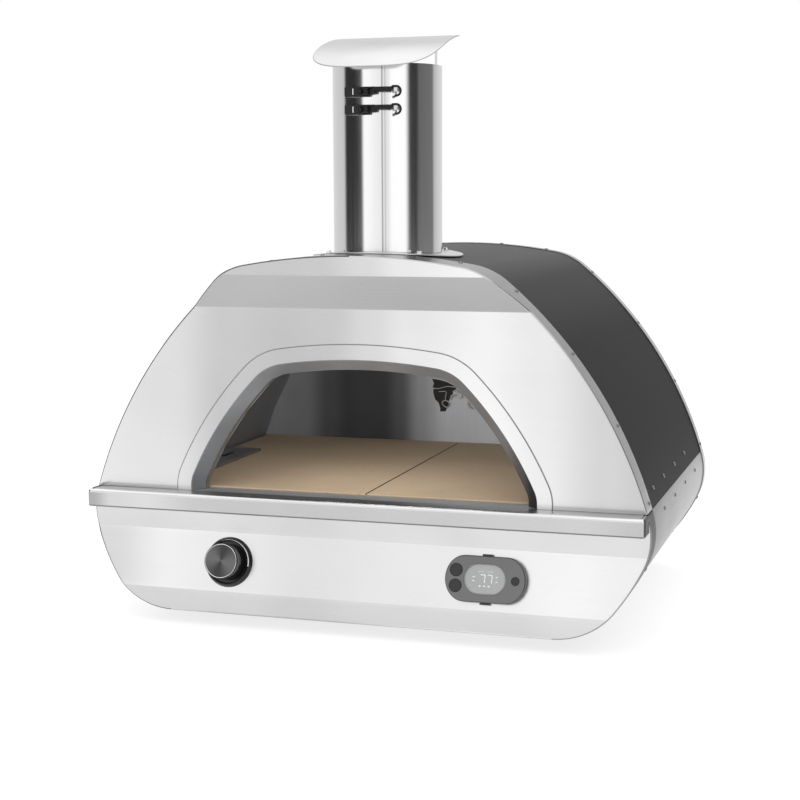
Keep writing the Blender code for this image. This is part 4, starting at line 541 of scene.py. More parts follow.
@dataclass(frozen=True)
class BodyOutline:
    """Right half of the oven's front outline, from the underside to the crown."""

    foot: float = 0.0186
    radii: tuple[float, ...] = (0.1021, 0.2874, 0.0959, 0.6060, 0.0968, 0.8482)
    turns_deg: tuple[float, ...] = (51.69, 12.70, 41.91, 33.90, 29.69, 10.11)

    def half(self) -> tuple[Array, Array]:
        """Points and normals of the half outline, as (N, 2); height never falls along them."""
        flat = -ArcChain((0, 0), 0, self.radii, self.turns_deg).sample()[0][-1, 0]
        points, normals = ArcChain((flat, self.foot), 0, self.radii, self.turns_deg).sample()
        return np.vstack([[0.0, self.foot], points]), np.vstack([[0.0, -1.0], normals])

    def between(self, low: float, high: float) -> tuple[Array, Array]:
        """Points and normals of the half outline between two heights, with new ones there."""
        points, normals = self.half()
        z = climb(points)
        keep = (z > low + 1e-6) & (z < high - 1e-6)
        ends = np.clip([low, high], z[0], z[-1])
        cut = np.stack([np.interp(ends, z, points[:, 0]), ends], axis=1)
        cut_n = blend(ends, z, normals)
        return (np.vstack([cut[:1], points[keep], cut[1:]]),
                np.vstack([cut_n[:1], normals[keep], cut_n[1:]]))

    def width(self, z: Array | float) -> Array:
        """Half width of the outline at a height."""
        points, _ = self.half()
        return np.interp(z, climb(points), points[:, 0])

    def normal(self, z: Array) -> Array:
        """Outward normals of the right half at given heights, as (N, 2)."""
        points, normals = self.half()
        return blend(z, climb(points), normals)

    def crown(self, x: Array | float) -> Array:
        """Height of the crown's arc at a distance from the middle."""
        radius = self.radii[-1]
        top = self.half()[0][-1, 1]
        return top - radius + np.sqrt(radius ** 2 - np.asarray(x) ** 2)


@dataclass(frozen=True)
class MouthOutline:
    """Right half of the mouth trim's outer edge."""

    ledge_top: float = 0.184
    foot_rise: float = 0.0063
    radii: tuple[float, ...] = (0.0607, 0.4850, 0.0874, 0.7490)
    turns_deg: tuple[float, ...] = (24.20, 20.51, 36.77, 8.52)

    def half(self, inset: float = 0.0) -> tuple[Array, Array]:
        """Points and normals from just above the ledge to the top of the arch.

        Args:
            inset: Distance inwards.

        Returns:
            Points as (N, 2) and normals as (N, 2).
        """
        wide = -ArcChain((0, 0), math.pi / 2, self.radii, self.turns_deg).sample()[0][-1, 0]
        start = (wide, self.ledge_top + self.foot_rise)
        points, normals = ArcChain(start, math.pi / 2, self.radii, self.turns_deg).sample()
        return (np.vstack([[wide - inset, self.ledge_top + GAP], points - inset * normals]),
                np.vstack([[1.0, 0.0], normals]))


@dataclass(frozen=True)
class FrontFold:
    """Side profile of the front faces: depth as a function of height.

    The straight runs between the folds are blended over a bend radius, as the mean of
    the folded line over a window of that half width.
    """

    heights: tuple[float, ...] = (0.0, 0.0497, 0.1281, 0.4376, 0.4831, 0.52)
    depths: tuple[float, ...] = (-0.0216, -0.0216, 0.0, 0.0, -0.0302, -0.0302)
    low_bend: float = 0.0060
    high_bend: float = 0.0022

    def bend(self, z: Array) -> Array:
        """Half width of the bend at a height: wide below the mouth, tight above it."""
        return np.where(np.asarray(z) < 0.3, self.low_bend, self.high_bend)

    def depth(self, z: Array | float) -> Array:
        """Depth of the front face at given heights."""
        knots = np.array(self.heights)
        values = np.array(self.depths)
        fine = np.linspace(knots[0] - 0.1, knots[-1] + 0.1, 14401)
        line = np.interp(fine, knots, values)
        total = np.concatenate([[0.0], np.cumsum((line[1:] + line[:-1]) / 2 * np.diff(fine))])
        z = np.asarray(z, dtype=float)
        bend = self.bend(z)
        return (np.interp(z + bend, fine, total) - np.interp(z - bend, fine, total)) / (2 * bend)

    def rows(self) -> Array:
        """Heights that the bends need rows at."""
        knots = np.array(self.heights[1:-1])
        return (knots[:, None] + self.bend(knots)[:, None] * np.linspace(-1, 1, 9)).ravel()


BODY = BodyOutline()
MOUTH = MouthOutline()
FOLD = FrontFold()


# Meshes

def place(points: Array, depth: Array | float) -> Array:
    """Lift (x, z) pairs into the row frame at a depth behind the front face."""
    depth = np.broadcast_to(depth, points.shape[:-1])
    return np.stack([points[..., 0], FACE_Y + depth, points[..., 1]], axis=-1)


def facing(normals: Array) -> Array:
    """Lift (x, z) directions into the row frame."""
    return np.stack([normals[:, 0], np.zeros(len(normals)), normals[:, 1]], axis=1)


def circle(steps: int) -> Array:
    """Angles of equal steps round a circle."""
    return np.linspace(0, 2 * math.pi, steps, endpoint=False)


def box(x0: float, y0: float, x1: float, y1: float) -> Array:
    """Corners of an upright rectangle, from one corner to the opposite one."""
    return np.array([[x0, y0], [x1, y0], [x1, y1], [x0, y1]])


def wall(near: float, far: float, start: float, end: float) -> Array:
    """Section of a straight wall: two distances from the outline or axis, and its ends."""
    return box(start, near, end, far)[:, ::-1]


def rounded(corners: ArrayLike, radius: ArrayLike, steps: int = 4, closed: bool = True) -> Array:
    """Round the corners of a plane polygon with arcs.

    Each corner gives way to the arc that is tangent to its two sides.

    Args:
        corners: Corner points as (N, 2).
        radius: Radius, one for all or one for each corner.
        steps: Facets of an arc.
        closed: Whether the last corner joins the first.

    Returns:
        Points as (M, 2).
    """
    corners = np.asarray(corners, dtype=float)
    radii = np.array(np.broadcast_to(radius, len(corners)), dtype=float)
    before = np.roll(corners, 1, axis=0) - corners
    after = np.roll(corners, -1, axis=0) - corners
    before /= np.maximum(np.linalg.norm(before, axis=1), 1e-12)[:, None]
    after /= np.maximum(np.linalg.norm(after, axis=1), 1e-12)[:, None]
    half = np.arccos(np.clip((before * after).sum(1), -1, 1)) / 2
    half = np.clip(half, 1e-3, math.pi / 2 - 1e-6)
    middle = before + after
    middle /= np.maximum(np.linalg.norm(middle, axis=1), 1e-12)[:, None]
    centre = corners + middle * (radii / np.sin(half))[:, None]
    first = corners + before * (radii / np.tan(half))[:, None] - centre
    last = corners + after * (radii / np.tan(half))[:, None] - centre
    t = np.linspace(0, 1, steps + 1)
    swing = math.pi - 2 * half
    weight_a = np.sin((1 - t)[None, :] * swing[:, None]) / np.sin(swing)[:, None]
    weight_b = np.sin(t[None, :] * swing[:, None]) / np.sin(swing)[:, None]
    arcs = (centre[:, None] + weight_a[..., None] * first[:, None]
            + weight_b[..., None] * last[:, None])
    sharp = radii < 1e-9
    if not closed:
        sharp[[0, -1]] = True
    arcs[sharp] = corners[sharp][:, None]
    flat = arcs.reshape(-1, 2)
    step = np.linalg.norm(np.diff(flat, axis=0), axis=1) > 1e-7
    return flat[np.concatenate([[True], step])]


@dataclass
class Sheet:
    """Vertices and faces of one surface patch, with a tone (material number) per face."""

    points: Array
    faces: list[tuple[int, ...]]
    tones: list[int]

    @classmethod
    def grid(cls, points: Array, closed_u: bool = False, closed_v: bool = False,
             cap_u: bool = False, tones: Array | None = None) -> "Sheet":
        """Patch from a grid of points, P(u, v).

        Args:
            points: Grid as (U, V, 3).
            closed_u: Whether the last row joins the first.
            closed_v: Whether the last column joins the first.
            cap_u: Whether the first and last rows are filled.
            tones: Tone of each strip between two columns, or of each face as (U, V).

        Returns:
            The patch.
        """
        rows, cols = points.shape[:2]
        index = np.arange(rows * cols).reshape(rows, cols)
        u = np.arange(rows if closed_u else rows - 1)
        v = np.arange(cols if closed_v else cols - 1)
        uu, vv = np.meshgrid(u, v, indexing="ij")
        nu, nv = (uu + 1) % rows, (vv + 1) % cols
        quads = np.stack([index[uu, vv], index[nu, vv], index[nu, nv], index[uu, nv]], axis=-1)
        faces = [tuple(q) for q in quads.reshape(-1, 4).tolist()]
        tones = np.zeros(cols, dtype=int) if tones is None else np.asarray(tones)
        shade = np.broadcast_to(tones[..., :len(v)], (len(u), len(v))).ravel().tolist()
        if cap_u:
            faces += [tuple(index[0].tolist()), tuple(index[-1].tolist()[::-1])]
            shade += [0, 0]
        return cls(points.reshape(-1, 3), faces, shade)

    def mirrored(self) -> "Sheet":
        """The same patch on the other side of x = 0."""
        return Sheet(self.points * [-1, 1, 1], [f[::-1] for f in self.faces], self.tones)

    def moved(self, matrix: Matrix) -> "Sheet":
        """The patch under a 4 by 4 matrix."""
        m = np.array(matrix)
        return Sheet(self.points @ m[:3, :3].T + m[:3, 3], self.faces, self.tones)

    def swapped(self, old: int, new: int) -> "Sheet":
        """The same patch with one tone exchanged for another."""
        return Sheet(self.points, self.faces, [new if t == old else t for t in self.tones])

    def toned(self, tone: int) -> "Sheet":
        """The patch with one tone all over."""
        return Sheet(self.points, self.faces, [tone] * len(self.faces))


def join(sheets: list[Sheet]) -> Sheet:
    """One patch from several."""
    faces: list[tuple[int, ...]] = []
    tones: list[int] = []
    start = 0
    for sheet in sheets:
        faces += [tuple(i + start for i in f) for f in sheet.faces]
        tones += sheet.tones
        start += len(sheet.points)
    return Sheet(np.vstack([s.points for s in sheets]), faces, tones)


def spun(angles: Array, profile: Array) -> Array:
    """Points (r cos a, r sin a, h) for each angle and each (r, h) of a profile."""
    r, h = profile.T
    return np.stack([np.cos(angles)[:, None] * r, np.sin(angles)[:, None] * r,
                     np.broadcast_to(h, (len(angles), len(profile)))], axis=-1)


def lathe(profile: ArrayLike, sides: int = 128, closed: bool = False) -> Sheet:
    """Surface of revolution about Z.

    Args:
        profile: (radius, height) pairs.
        sides: Steps round the axis.
        closed: Whether the profile is a loop.

    Returns:
        The patch.
    """
    profile = np.asarray(profile, dtype=float)
    if closed:
        profile = np.vstack([profile, profile[:1]])
    return Sheet.grid(spun(circle(sides), profile), closed_u=True)


def tube(path: Array, radius: float, sides: int = 12) -> Sheet:
    """Round bar along a plane path: each ring lies in the plane that halves the bend there.

    Args:
        path: Points as (N, 3).
        radius: Radius of the bar.
        sides: Steps round it.

    Returns:
        The patch, with flat ends.
    """
    ways = np.diff(path, axis=0)
    ways /= np.linalg.norm(ways, axis=1)[:, None]
    tangent = np.vstack([ways, ways[-1:]]) + np.vstack([ways[:1], ways])
    tangent /= np.linalg.norm(tangent, axis=1)[:, None]
    up = np.eye(3)[int(np.argmin(path.max(0) - path.min(0)))]
    side = np.cross(tangent, up)
    side /= np.linalg.norm(side, axis=1)[:, None]
    rise = np.cross(side, tangent)
    a = circle(sides)
    rings = (path[:, None] + radius * (np.cos(a)[None, :, None] * side[:, None]
                                       + np.sin(a)[None, :, None] * rise[:, None]))
    return Sheet.grid(rings, closed_v=True, cap_u=True)


def smooth(path: Array, steps: int = 6) -> Array:
    """Carry a curve through given points: a Catmull-Rom spline between each pair."""
    p = np.vstack([path[:1], path, path[-1:]])
    t = np.linspace(0, 1, steps, endpoint=False)[None, :, None]
    a, b, c, d = (p[k:len(p) - 3 + k, None] for k in range(4))
    curve = b + t * ((c - a) + t * ((2 * a - 5 * b + 4 * c - d) + t * (3 * (b - c) + d - a))) / 2
    return np.vstack([curve.reshape(-1, 3), path[-1:]])


def extruded(outline: Array, low: float, high: float) -> Sheet:
    """Closed solid from an outline in X and Y, between two heights."""
    rings = np.stack([np.column_stack([outline, np.full(len(outline), h)])
                      for h in (low, high)])
    return Sheet.grid(rings, closed_v=True, cap_u=True)


def slab(half: float, front: float, back: float, top: float, thickness: float) -> Sheet:
    """Flat bar across x = 0, from its half width, its depths and the height of its top."""
    return extruded(box(-half, front, half, back) + [0, FACE_Y], top - thickness, top)


def swept_section(path: Array, normals: Array, section: Array,
                  tones: list[int] | None = None) -> Sheet:
    """Carry a closed section of (inset, depth) pairs along an outline: path - inset * normal.

    Args:
        path: Outline points as (N, 2).
        normals: Their outward normals as (N, 2).
        section: (inset, depth) pairs as (M, 2).
        tones: Tone of each side of the section.

    Returns:
        The patch, with its ends filled.
    """
    plane = path[None] - section[:, None, :1] * normals[None]
    points = place(plane, section[:, None, 1])
    return Sheet.grid(points.transpose(1, 0, 2), closed_v=True, cap_u=True, tones=tones)


def round_edges(obj: bpy.types.Object, width: float) -> None:
    """Round an object's sharp edges, where a width is given."""
    if width:
        bevel = obj.modifiers.new("edges", 'BEVEL')
        bevel.width = width
        bevel.segments = 2
        bevel.limit_method = 'ANGLE'
        bevel.angle_limit = math.radians(40)


@dataclass
class Piece:
    """A new piece of the scene, ready to be finished.

    Attributes:
        name: Name of the piece.
        sheets: Its patches.
        finish: Finish of tone 0.
        slot: Slot of the piece; not used.
        body: Body that it rides on.
        replaces: Nodes that it stands for.
        sharp_deg: Angle past which an edge is shaded sharp.
        thickness: Wall that is put behind an open sheet.
        cutters: Closed patches that are cut out of it.
        extra: Finishes of the tones from 1 up.
        bevel: Width of the rounded edges.
    """

    name: str
    sheets: list[Sheet]
    finish: Finish
    slot: Slot = Slot.STEEL
    body: str = ROOT_BODY
    replaces: tuple[str, ...] = ()
    sharp_deg: float = 35.0
    thickness: float = 0.0
    cutters: tuple[Sheet, ...] = ()
    extra: tuple[Finish, ...] = ()
    bevel: float = 0.0

    def build(self) -> bpy.types.Object:
        """Make the object and its modifiers, hang it on its body and hide the nodes that it
        replaces.

        Returns:
            The object.
        """
        obj = self._object(self.name, join(self.sheets))
        for finish in (self.finish, *self.extra):
            obj.data.materials.append(FINISHES.get(finish))
        if self.thickness:
            wall = obj.modifiers.new("wall", 'SOLIDIFY')
            wall.thickness = self.thickness
            wall.offset = -1.0
        if self.cutters:
            self._cut(obj)
        round_edges(obj, self.bevel)
        obj.modifiers.new("normals", 'WEIGHTED_NORMAL').keep_sharp = True
        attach(obj, self.body)
        if self.replaces:
            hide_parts(*self.replaces)
        LOG.info("%s: %d faces on %s", self.name, len(obj.data.polygons), self.body)
        return obj

    def _object(self, name: str, sheet: Sheet) -> bpy.types.Object:
        """Object from a patch: doubles merged, faces turned outwards, edges sorted."""
        mesh = bpy.data.meshes.new(name)
        mesh.from_pydata(sheet.points.tolist(), [], sheet.faces)
        mesh.polygons.foreach_set("material_index", np.array(sheet.tones, dtype=np.int32))
        bm = bmesh.new()
        bm.from_mesh(mesh)
        bmesh.ops.remove_doubles(bm, verts=bm.verts, dist=1e-6)
        bmesh.ops.dissolve_degenerate(bm, edges=bm.edges, dist=1e-7)
        bmesh.ops.recalc_face_normals(bm, faces=bm.faces)
        bm.to_mesh(mesh)
        bm.free()
        self._shade(mesh)
        obj = bpy.data.objects.new(name, mesh)
        bpy.context.scene.collection.objects.link(obj)
        return obj

    def _shade(self, mesh: bpy.types.Mesh) -> None:
        """Shade a mesh smooth apart from its sharp edges."""
        mesh.polygons.foreach_set("use_smooth", np.ones(len(mesh.polygons), dtype=bool))
        mesh.set_sharp_from_angle(angle=math.radians(self.sharp_deg))

    def _cut(self, obj: bpy.types.Object) -> None:
        """Cut the closed patches out of the object and keep the result as its mesh."""
        tool = self._object(self.name + "_tool", join(list(self.cutters)))
        cut = obj.modifiers.new("cut", 'BOOLEAN')
        cut.operation = 'DIFFERENCE'
        cut.solver = 'EXACT'
        cut.object = tool
        graph = bpy.context.evaluated_depsgraph_get()
        graph.update()
        mesh = bpy.data.meshes.new_from_object(obj.evaluated_get(graph))
        obj.modifiers.clear()
        obj.data = mesh
        bpy.data.objects.remove(tool, do_unlink=True)
        self._shade(mesh)


def dress(names: str, finish: Finish, bevel: float = 0.0) -> None:
    """Give CAD nodes that stay in view a finish, and a rounded edge where asked.

    Args:
        names: Node names with spaces between them.
        finish: Their finish.
        bevel: Width of the rounded edges.
    """
    for name in names.split():
        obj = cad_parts[name]
        for slot in obj.material_slots:
            slot.material = FINISHES.get(finish)
        round_edges(obj, bevel)
        LOG.info("%s dressed as %s", name, finish.name)


# Body

class Tone(IntEnum):
    """Tones of a folded panel, in the order of its finishes: darker or lighter copies of the same
    steel, painted shade on the rim, brow, uprights and folds and painted light on the controls.
    """

    FACE = 0
    RIM = 1
    BROW = 2
    UPRIGHT = 3
    FOLD = 4
    LEFT_FOLD = 5
    CONTROLS = 6


@dataclass
class FoldedPanel:
    """A sheet bent up from the body's outline: flat face, folded edge and rim in one skin.

    Attributes:
        name: Name of the piece.
        node: Node that it stands for.
        low: Height of the lower edge, or None for the underside.
        high: Height of the upper edge, or None for the crown.
        mouth: Whether the mouth is cut out.
        rear: Whether the face is the rear one, whose rim runs forwards.
        cutters: Closed patches that are cut out.
        edge: Radius of the fold.
        reach: How far the rear rim runs forwards.
        columns: Columns of each half.
        margin: Width of the last column, which lets the fold shade clean.
        fold_steps: Facets of the fold.
        rim_steps: Facets of the rim.
        hole_inset: Where the mouth's hole is cut, inside the trim's outer edge.
    """

    name: str
    node: str
    low: float | None = None
    high: float | None = None
    mouth: bool = False
    rear: bool = False
    cutters: tuple[Sheet, ...] = ()
    edge: float = 0.0022
    reach: float = 0.0210
    columns: int = 26
    margin: float = 0.0006
    fold_steps: int = 6
    rim_steps: int = 4
    hole_inset: float = 0.0111

    def build(self) -> None:
        """Make the panel."""
        halves = [self._half()]
        if self.low is None:
            halves.append(self._underside())
        # The left half's fold takes the near-black tone in place of the right's: painted shade on
        # the left side.
        sheets = halves + [half.mirrored().swapped(Tone.FOLD, Tone.LEFT_FOLD)
                           for half in halves]
        # Every tone after the face is a darker or lighter copy of the panel's steel: painted shade
        # on the rim, brow, uprights and folds, painted light on the control face.
        below = self.low is None and not self.rear
        fold = FOLD_SHADE if self.rear else RIM_SHADE if below else BROW_SHADE
        Piece(self.name, sheets, STEEL_X if self.rear else FRONT,
              replaces=(self.node,), thickness=SHEET, sharp_deg=50, cutters=self.cutters,
              extra=(RIM_LOW_SHADE if below else RIM_SHADE, BROW_SHADE, UPRIGHT_SHADE, fold, FOLD_SHADE,
                     STEEL_LIT)).build()

    def _tones(self, z: Array, columns: int) -> Array:
        """Tones of the face by the height of its rows, and of the fold and the rim: painted shade
        and light on the same steel.
        """
        rim = columns + self.fold_steps - 1
        tones = np.full((len(z) - 1, rim + self.rim_steps), Tone.FACE, dtype=int)
        middle = (z[1:] + z[:-1]) / 2
        if not self.rear:
            _, low, high, brow, crown, _ = FOLD.heights
            tones[(middle > brow) & (middle < crown)] = Tone.BROW
            tones[(middle < low) | ((middle > high) & (middle < MOUTH.ledge_top - SHEET))] \
                = Tone.UPRIGHT
            tones[(middle > low) & (middle < high)] = Tone.CONTROLS
        tones[:, columns:rim] = Tone.FOLD
        tones[:, rim:] = Tone.BROW if self.rear else Tone.RIM
        return tones

    def _depth(self, z: Array) -> Array:
        """Depth of the face at given heights."""
        return np.full(len(z), BODY_DEPTH) if self.rear else FOLD.depth(z)

    def _wrap(self, x: Array, z: Array, normal: Array) -> Array:
        """Carry each row of the face round the fold and along the rim.

        Args:
            x: Face columns as (R, C), the last one on the fold.
            z: Height of each row.
            normal: Outward normal of each row, (R, 2).

        Returns:
            Points as (R, C + 10, 3).
        """
        way = -1.0 if self.rear else 1.0
        end = BODY_DEPTH - self.reach if self.rear else FLANGE
        a = np.linspace(0, math.pi / 2, self.fold_steps + 1)[1:]
        level = self._depth(z)
        corner = np.stack([x[:, -1], z], axis=1)
        face = place(np.stack([x, np.broadcast_to(z[:, None], x.shape)], -1), level[:, None])
        fold = place(corner[:, None] + self.edge * np.sin(a)[None, :, None] * normal[:, None],
                     level[:, None] + way * self.edge * (1 - np.cos(a))[None])
        start = level + way * self.edge
        t = np.linspace(0, 1, self.rim_steps + 1)[1:]
        rim = place(np.repeat((corner + self.edge * normal)[:, None], self.rim_steps, axis=1),
                    start[:, None] + (end - start)[:, None] * t[None])
        return np.concatenate([face, fold, rim], axis=1)

    def _columns(self, inner: Array, outer: Array) -> Array:
        """Columns between two edges, the last two a margin apart."""
        s = np.linspace(0, 1, self.columns)
        margin = np.minimum(self.margin, (outer - inner) / 2)
        x = inner[:, None] + (outer - margin - inner)[:, None] * s[None, :]
        return np.concatenate([x, outer[:, None]], axis=1)

    def _half(self) -> Sheet:
        """Right half: rows of equal height from the inner edge to the fold and round it."""
        points, normals = BODY.half()
        points, normals = points[1:], normals[1:]
        inset = points - self.edge * normals
        key = climb(inset, 1e-9)
        low = key[0] if self.low is None else self.low
        high = key[-1] if self.high is None else self.high
        hole = MOUTH.half(self.hole_inset)[0]
        extra = [[low, high], key, np.linspace(low, high, 56)]
        if not self.rear:
            extra.append(FOLD.rows())
        if self.mouth:
            extra.append(hole[1:, 1])
        z = np.concatenate(extra)
        z = np.unique(z[(z >= low) & (z <= high)])
        z = z[np.concatenate([[True], np.diff(z) > 2e-10])]
        outer = np.interp(z, key, inset[:, 0])
        normal = blend(z, key, normals)
        normal /= np.linalg.norm(normal, axis=1)[:, None]
        inner = np.zeros_like(z)
        if self.mouth:
            inner = np.where(z < hole[-1, 1], np.interp(z, hole[:, 1], hole[:, 0]), 0.0)
        return Sheet.grid(self._wrap(self._columns(inner, outer), z, normal),
                          tones=self._tones(z, self.columns + 1))

    def _underside(self) -> Sheet:
        """Fold and rim along the flat underside, in columns across it."""
        points, _ = BODY.half()
        flat = np.array([points[1, 0]])
        x = self._columns(np.zeros(1), flat)[0]
        normal = np.broadcast_to([0.0, -1.0], (len(x), 2))
        z = np.full(len(x), points[0, 1] + self.edge)
        grid = self._wrap(x[:, None], z, normal)
        tones = np.full(grid.shape[1], Tone.RIM, dtype=int)
        tones[:3] = Tone.FACE
        return Sheet.grid(grid, tones=tones)


@dataclass
class Casing:
    """Dark skin with its flue hole, steel base shell with its lip, and the rear panel.

    Attributes:
        tuck: How far the shells start behind the front panels, and end before the rear one.
        skin: Thickness of the shells.
        seam: Height at which they meet.
        lip: Reach of the base's lip above and below the seam.
        lip_tuck: How far its ends stay inside the shells'.
        flue_hole: Radius of the flue's hole.
        inlet: The gas inlet's hole in the rear panel, as x, height and radius.
        vents: The rear panel's slots, as x, width, height, lowest place and pitch.
    """

    tuck: float = 0.012
    skin: float = 0.0010
    seam: float = 0.1833
    lip: float = 0.021
    lip_tuck: float = 0.002
    flue_hole: float = 0.0738
    inlet: Triple = (-0.1843, 0.0331, 0.0084)
    vents: tuple[float, float, float, float, float] = (0.115, 0.100, 0.005, 0.060, 0.014)

    def build(self) -> None:
        """Make the shells."""
        inset = SHEET + GAP
        front, back = self.tuck, BODY_DEPTH - self.tuck
        section = wall(inset, inset + self.skin, front, back)
        hole = lathe(box(0.0, 0.40, self.flue_hole, 0.60)).moved(PIPE_AXIS)
        over = across(*BODY.between(self.seam + GAP / 2, 0.52))
        Piece("skin", [swept_section(*over, section)], SKIN, Slot.PAINT,
              replaces=("outer_skin",), cutters=(hole,)).build()
        points, normals = BODY.between(0.0, self.seam - GAP / 2)
        under = swept_section(*across(points[::-1], normals[::-1]), section)
        lap = inset + self.skin + GAP
        band = wall(lap, lap + self.skin, front + self.lip_tuck, back - self.lip_tuck)
        run, out = BODY.between(self.seam - self.lip, self.seam + self.lip)
        lips = [swept_section(run * [side, 1], out * [side, 1], band) for side in (1, -1)]
        Piece("base", [under] + lips, STEEL_Y, replaces=("base_shell",)).build()
        FoldedPanel("rear", "rear_panel", rear=True, cutters=self._rear_holes()).build()

    def _rear_holes(self) -> tuple[Sheet, ...]:
        """Rows of vent slots with round ends, and the hole of the gas inlet."""
        x, width, height, lowest, pitch = self.vents
        slot = rounded(box(-width / 2, -height / 2, width / 2, height / 2), height * 0.4999, 6)
        hole_x, hole_z, radius = self.inlet
        holes = [(extruded(slot, -0.01, 0.01), side * x, lowest + k * pitch)
                 for side in (-1, 1) for k in range(5)]
        holes.append((lathe(box(0.0, -0.01, radius, 0.01), 48), hole_x, hole_z))
        return tuple(tool.moved(Matrix.Translation((x, FACE_Y + BODY_DEPTH, z)) @ UPRIGHT)
                     for tool, x, z in holes)


@dataclass
class Ledge:
    """Steel ledge across the front, with the sill that runs back into the mouth.

    Attributes:
        reach: How far it juts out from the face.
        drop: Height of its edge.
        overhang: How far its ends stand past the body.
        corner: Radius of its corners in plan.
        nose: Radius of the upper fold; the lower one has half of it.
        deep: How far the section runs in under both lids.
        throat_depth: Depth at which the sill narrows.
        sill_end: Depth of its end.
        sill_front: Half width of its front part.
        sill_back: Half width of its rear part.
    """

    reach: float = 0.0300
    drop: float = 0.0245
    overhang: float = 0.0019
    corner: float = 0.0050
    nose: float = 0.0046
    deep: float = 0.0074
    throat_depth: float = 0.0160
    sill_end: float = 0.0277
    sill_front: float = 0.2632
    sill_back: float = 0.2296

    def build(self) -> None:
        """Make the ledge (tones: 1 folds, 2 top, 3 edge, 4 the edge's right end, each a painted
        shade or reflection on the same steel) and the sill.
        """
        top = MOUTH.ledge_top
        wide = float(BODY.width(top)) + self.overhang
        a = np.linspace(0, math.pi / 2, 9)
        c = self.corner
        arc = np.stack([wide - c + c * np.sin(a), -self.reach + c - c * np.cos(a)], axis=1)
        side = np.stack([np.sin(a), -np.cos(a)], axis=1)
        right = np.vstack([arc, [[wide, -GAP]]])
        right_n = np.vstack([side, [[1.0, 0.0]]])
        path = np.vstack([right[::-1] * [-1, 1], right])
        normal = np.vstack([right_n[::-1] * [-1, 1], right_n])
        n = self.nose
        m = n / 2
        arc_top = np.stack([n * (1 - np.sin(a)), top - n * (1 - np.cos(a))], axis=1)
        arc_low = np.stack([m * (1 - np.cos(a)), top - self.drop + m * (1 - np.sin(a))], axis=1)
        low = top - self.drop
        section = np.vstack([[[self.deep, top], [n + 0.0005, top]], arc_top, arc_low,
                             [[m + 0.0005, low], [self.deep, low]]])
        plan = path[:, None] - section[None, :, :1] * normal[:, None]
        points = np.stack([plan[..., 0], FACE_Y + plan[..., 1],
                           np.broadcast_to(section[None, :, 1], plan.shape[:2])], axis=-1)
        lids = [self._lid(points[:, 0]).toned(2), self._lid(points[:, -1])]
        # Tone 1 darkens the lower fold and underside, 2 the top, 4 the right end, and 3 gives the
        # face its bands: painted shade and reflections.
        tones = np.zeros((len(path) - 1, len(section)), dtype=int)
        tones[:, 10] = 3
        tones[-6:, 4:] = 4
        tones[:, 0] = 2
        tones[:, 11:21] = 1
        Piece("ledge", [Sheet.grid(points, tones=tones)] + lids, STEEL_X,
              replaces=("front_ledge",), thickness=SHEET, sharp_deg=50,
              extra=(EDGE_SHADE, LEDGE_TOP_SHADE, LEDGE_FACE, RIM_LOW_SHADE)).build()
        sill = [slab(half, front, back, top, SHEET)
                for half, front, back in ((self.sill_front, -GAP, self.throat_depth),
                                          (self.sill_back, self.throat_depth, self.sill_end))]
        Piece("ledge_sill", sill, SILL).build()

    def _lid(self, rim: Array) -> Sheet:
        """Flat sheet from a rim back to the panel, in rows along the depth."""
        back = rim.copy()
        back[:, 1] = FACE_Y - GAP
        t = np.linspace(0, 1, 4)[:, None, None]
        return Sheet.grid(rim[None] * (1 - t) + back[None] * t)


@dataclass
class MouthFrame:
    """Flat trim round the mouth, its flared throat, and the liner behind it."""

    width: float = 0.0201
    throat_inset: float = 0.0150
    throat_depth: float = 0.0160
    liner_end: float = 0.0277

    def build(self) -> None:
        """Make the trim and the liner."""
        path, normals = across(*MOUTH.half())
        front = -GAP - SHEET
        bend = SHEET * math.tan(math.radians(22.5))
        inner = self.width + self.throat_inset
        section = rounded([[0, -GAP], [0, front], [self.width, front],
                           [inner, self.throat_depth], [inner - SHEET, self.throat_depth],
                           [self.width - bend, -GAP]],
                          [0.0, 0.0004, 0.0035, 0.0004, 0.0004, 0.0030], 5)
        # Tone 1 darkens the trim's outer edge and tone 2 its throat and inner lip: painted shade.
        tones = np.zeros(len(section), dtype=int)
        tones[0], tones[9:25] = 1, 2
        Piece("trim", [swept_section(path, normals, section, tones)], FRONT,
              replaces=("mouth_trim",), sharp_deg=60, extra=(EDGE_SHADE, THROAT_SHADE)).build()
        outside = inner - SHEET - GAP
        start = self.throat_depth + GAP
        # A thin dark strip round the trim's outer edge: painted shadow line.
        Piece("trim_shadow_line", [swept_section(path, normals, box(0.0, -0.0001, -0.0012, -0.0006))],
              TRIM_SHADOW_LINE).build()
        section = wall(outside, outside + SHEET, start, self.liner_end)
        Piece("liner", [swept_section(path, normals, section)], LINER, Slot.CHAMBER,
              replaces=("mouth_liner",)).build()


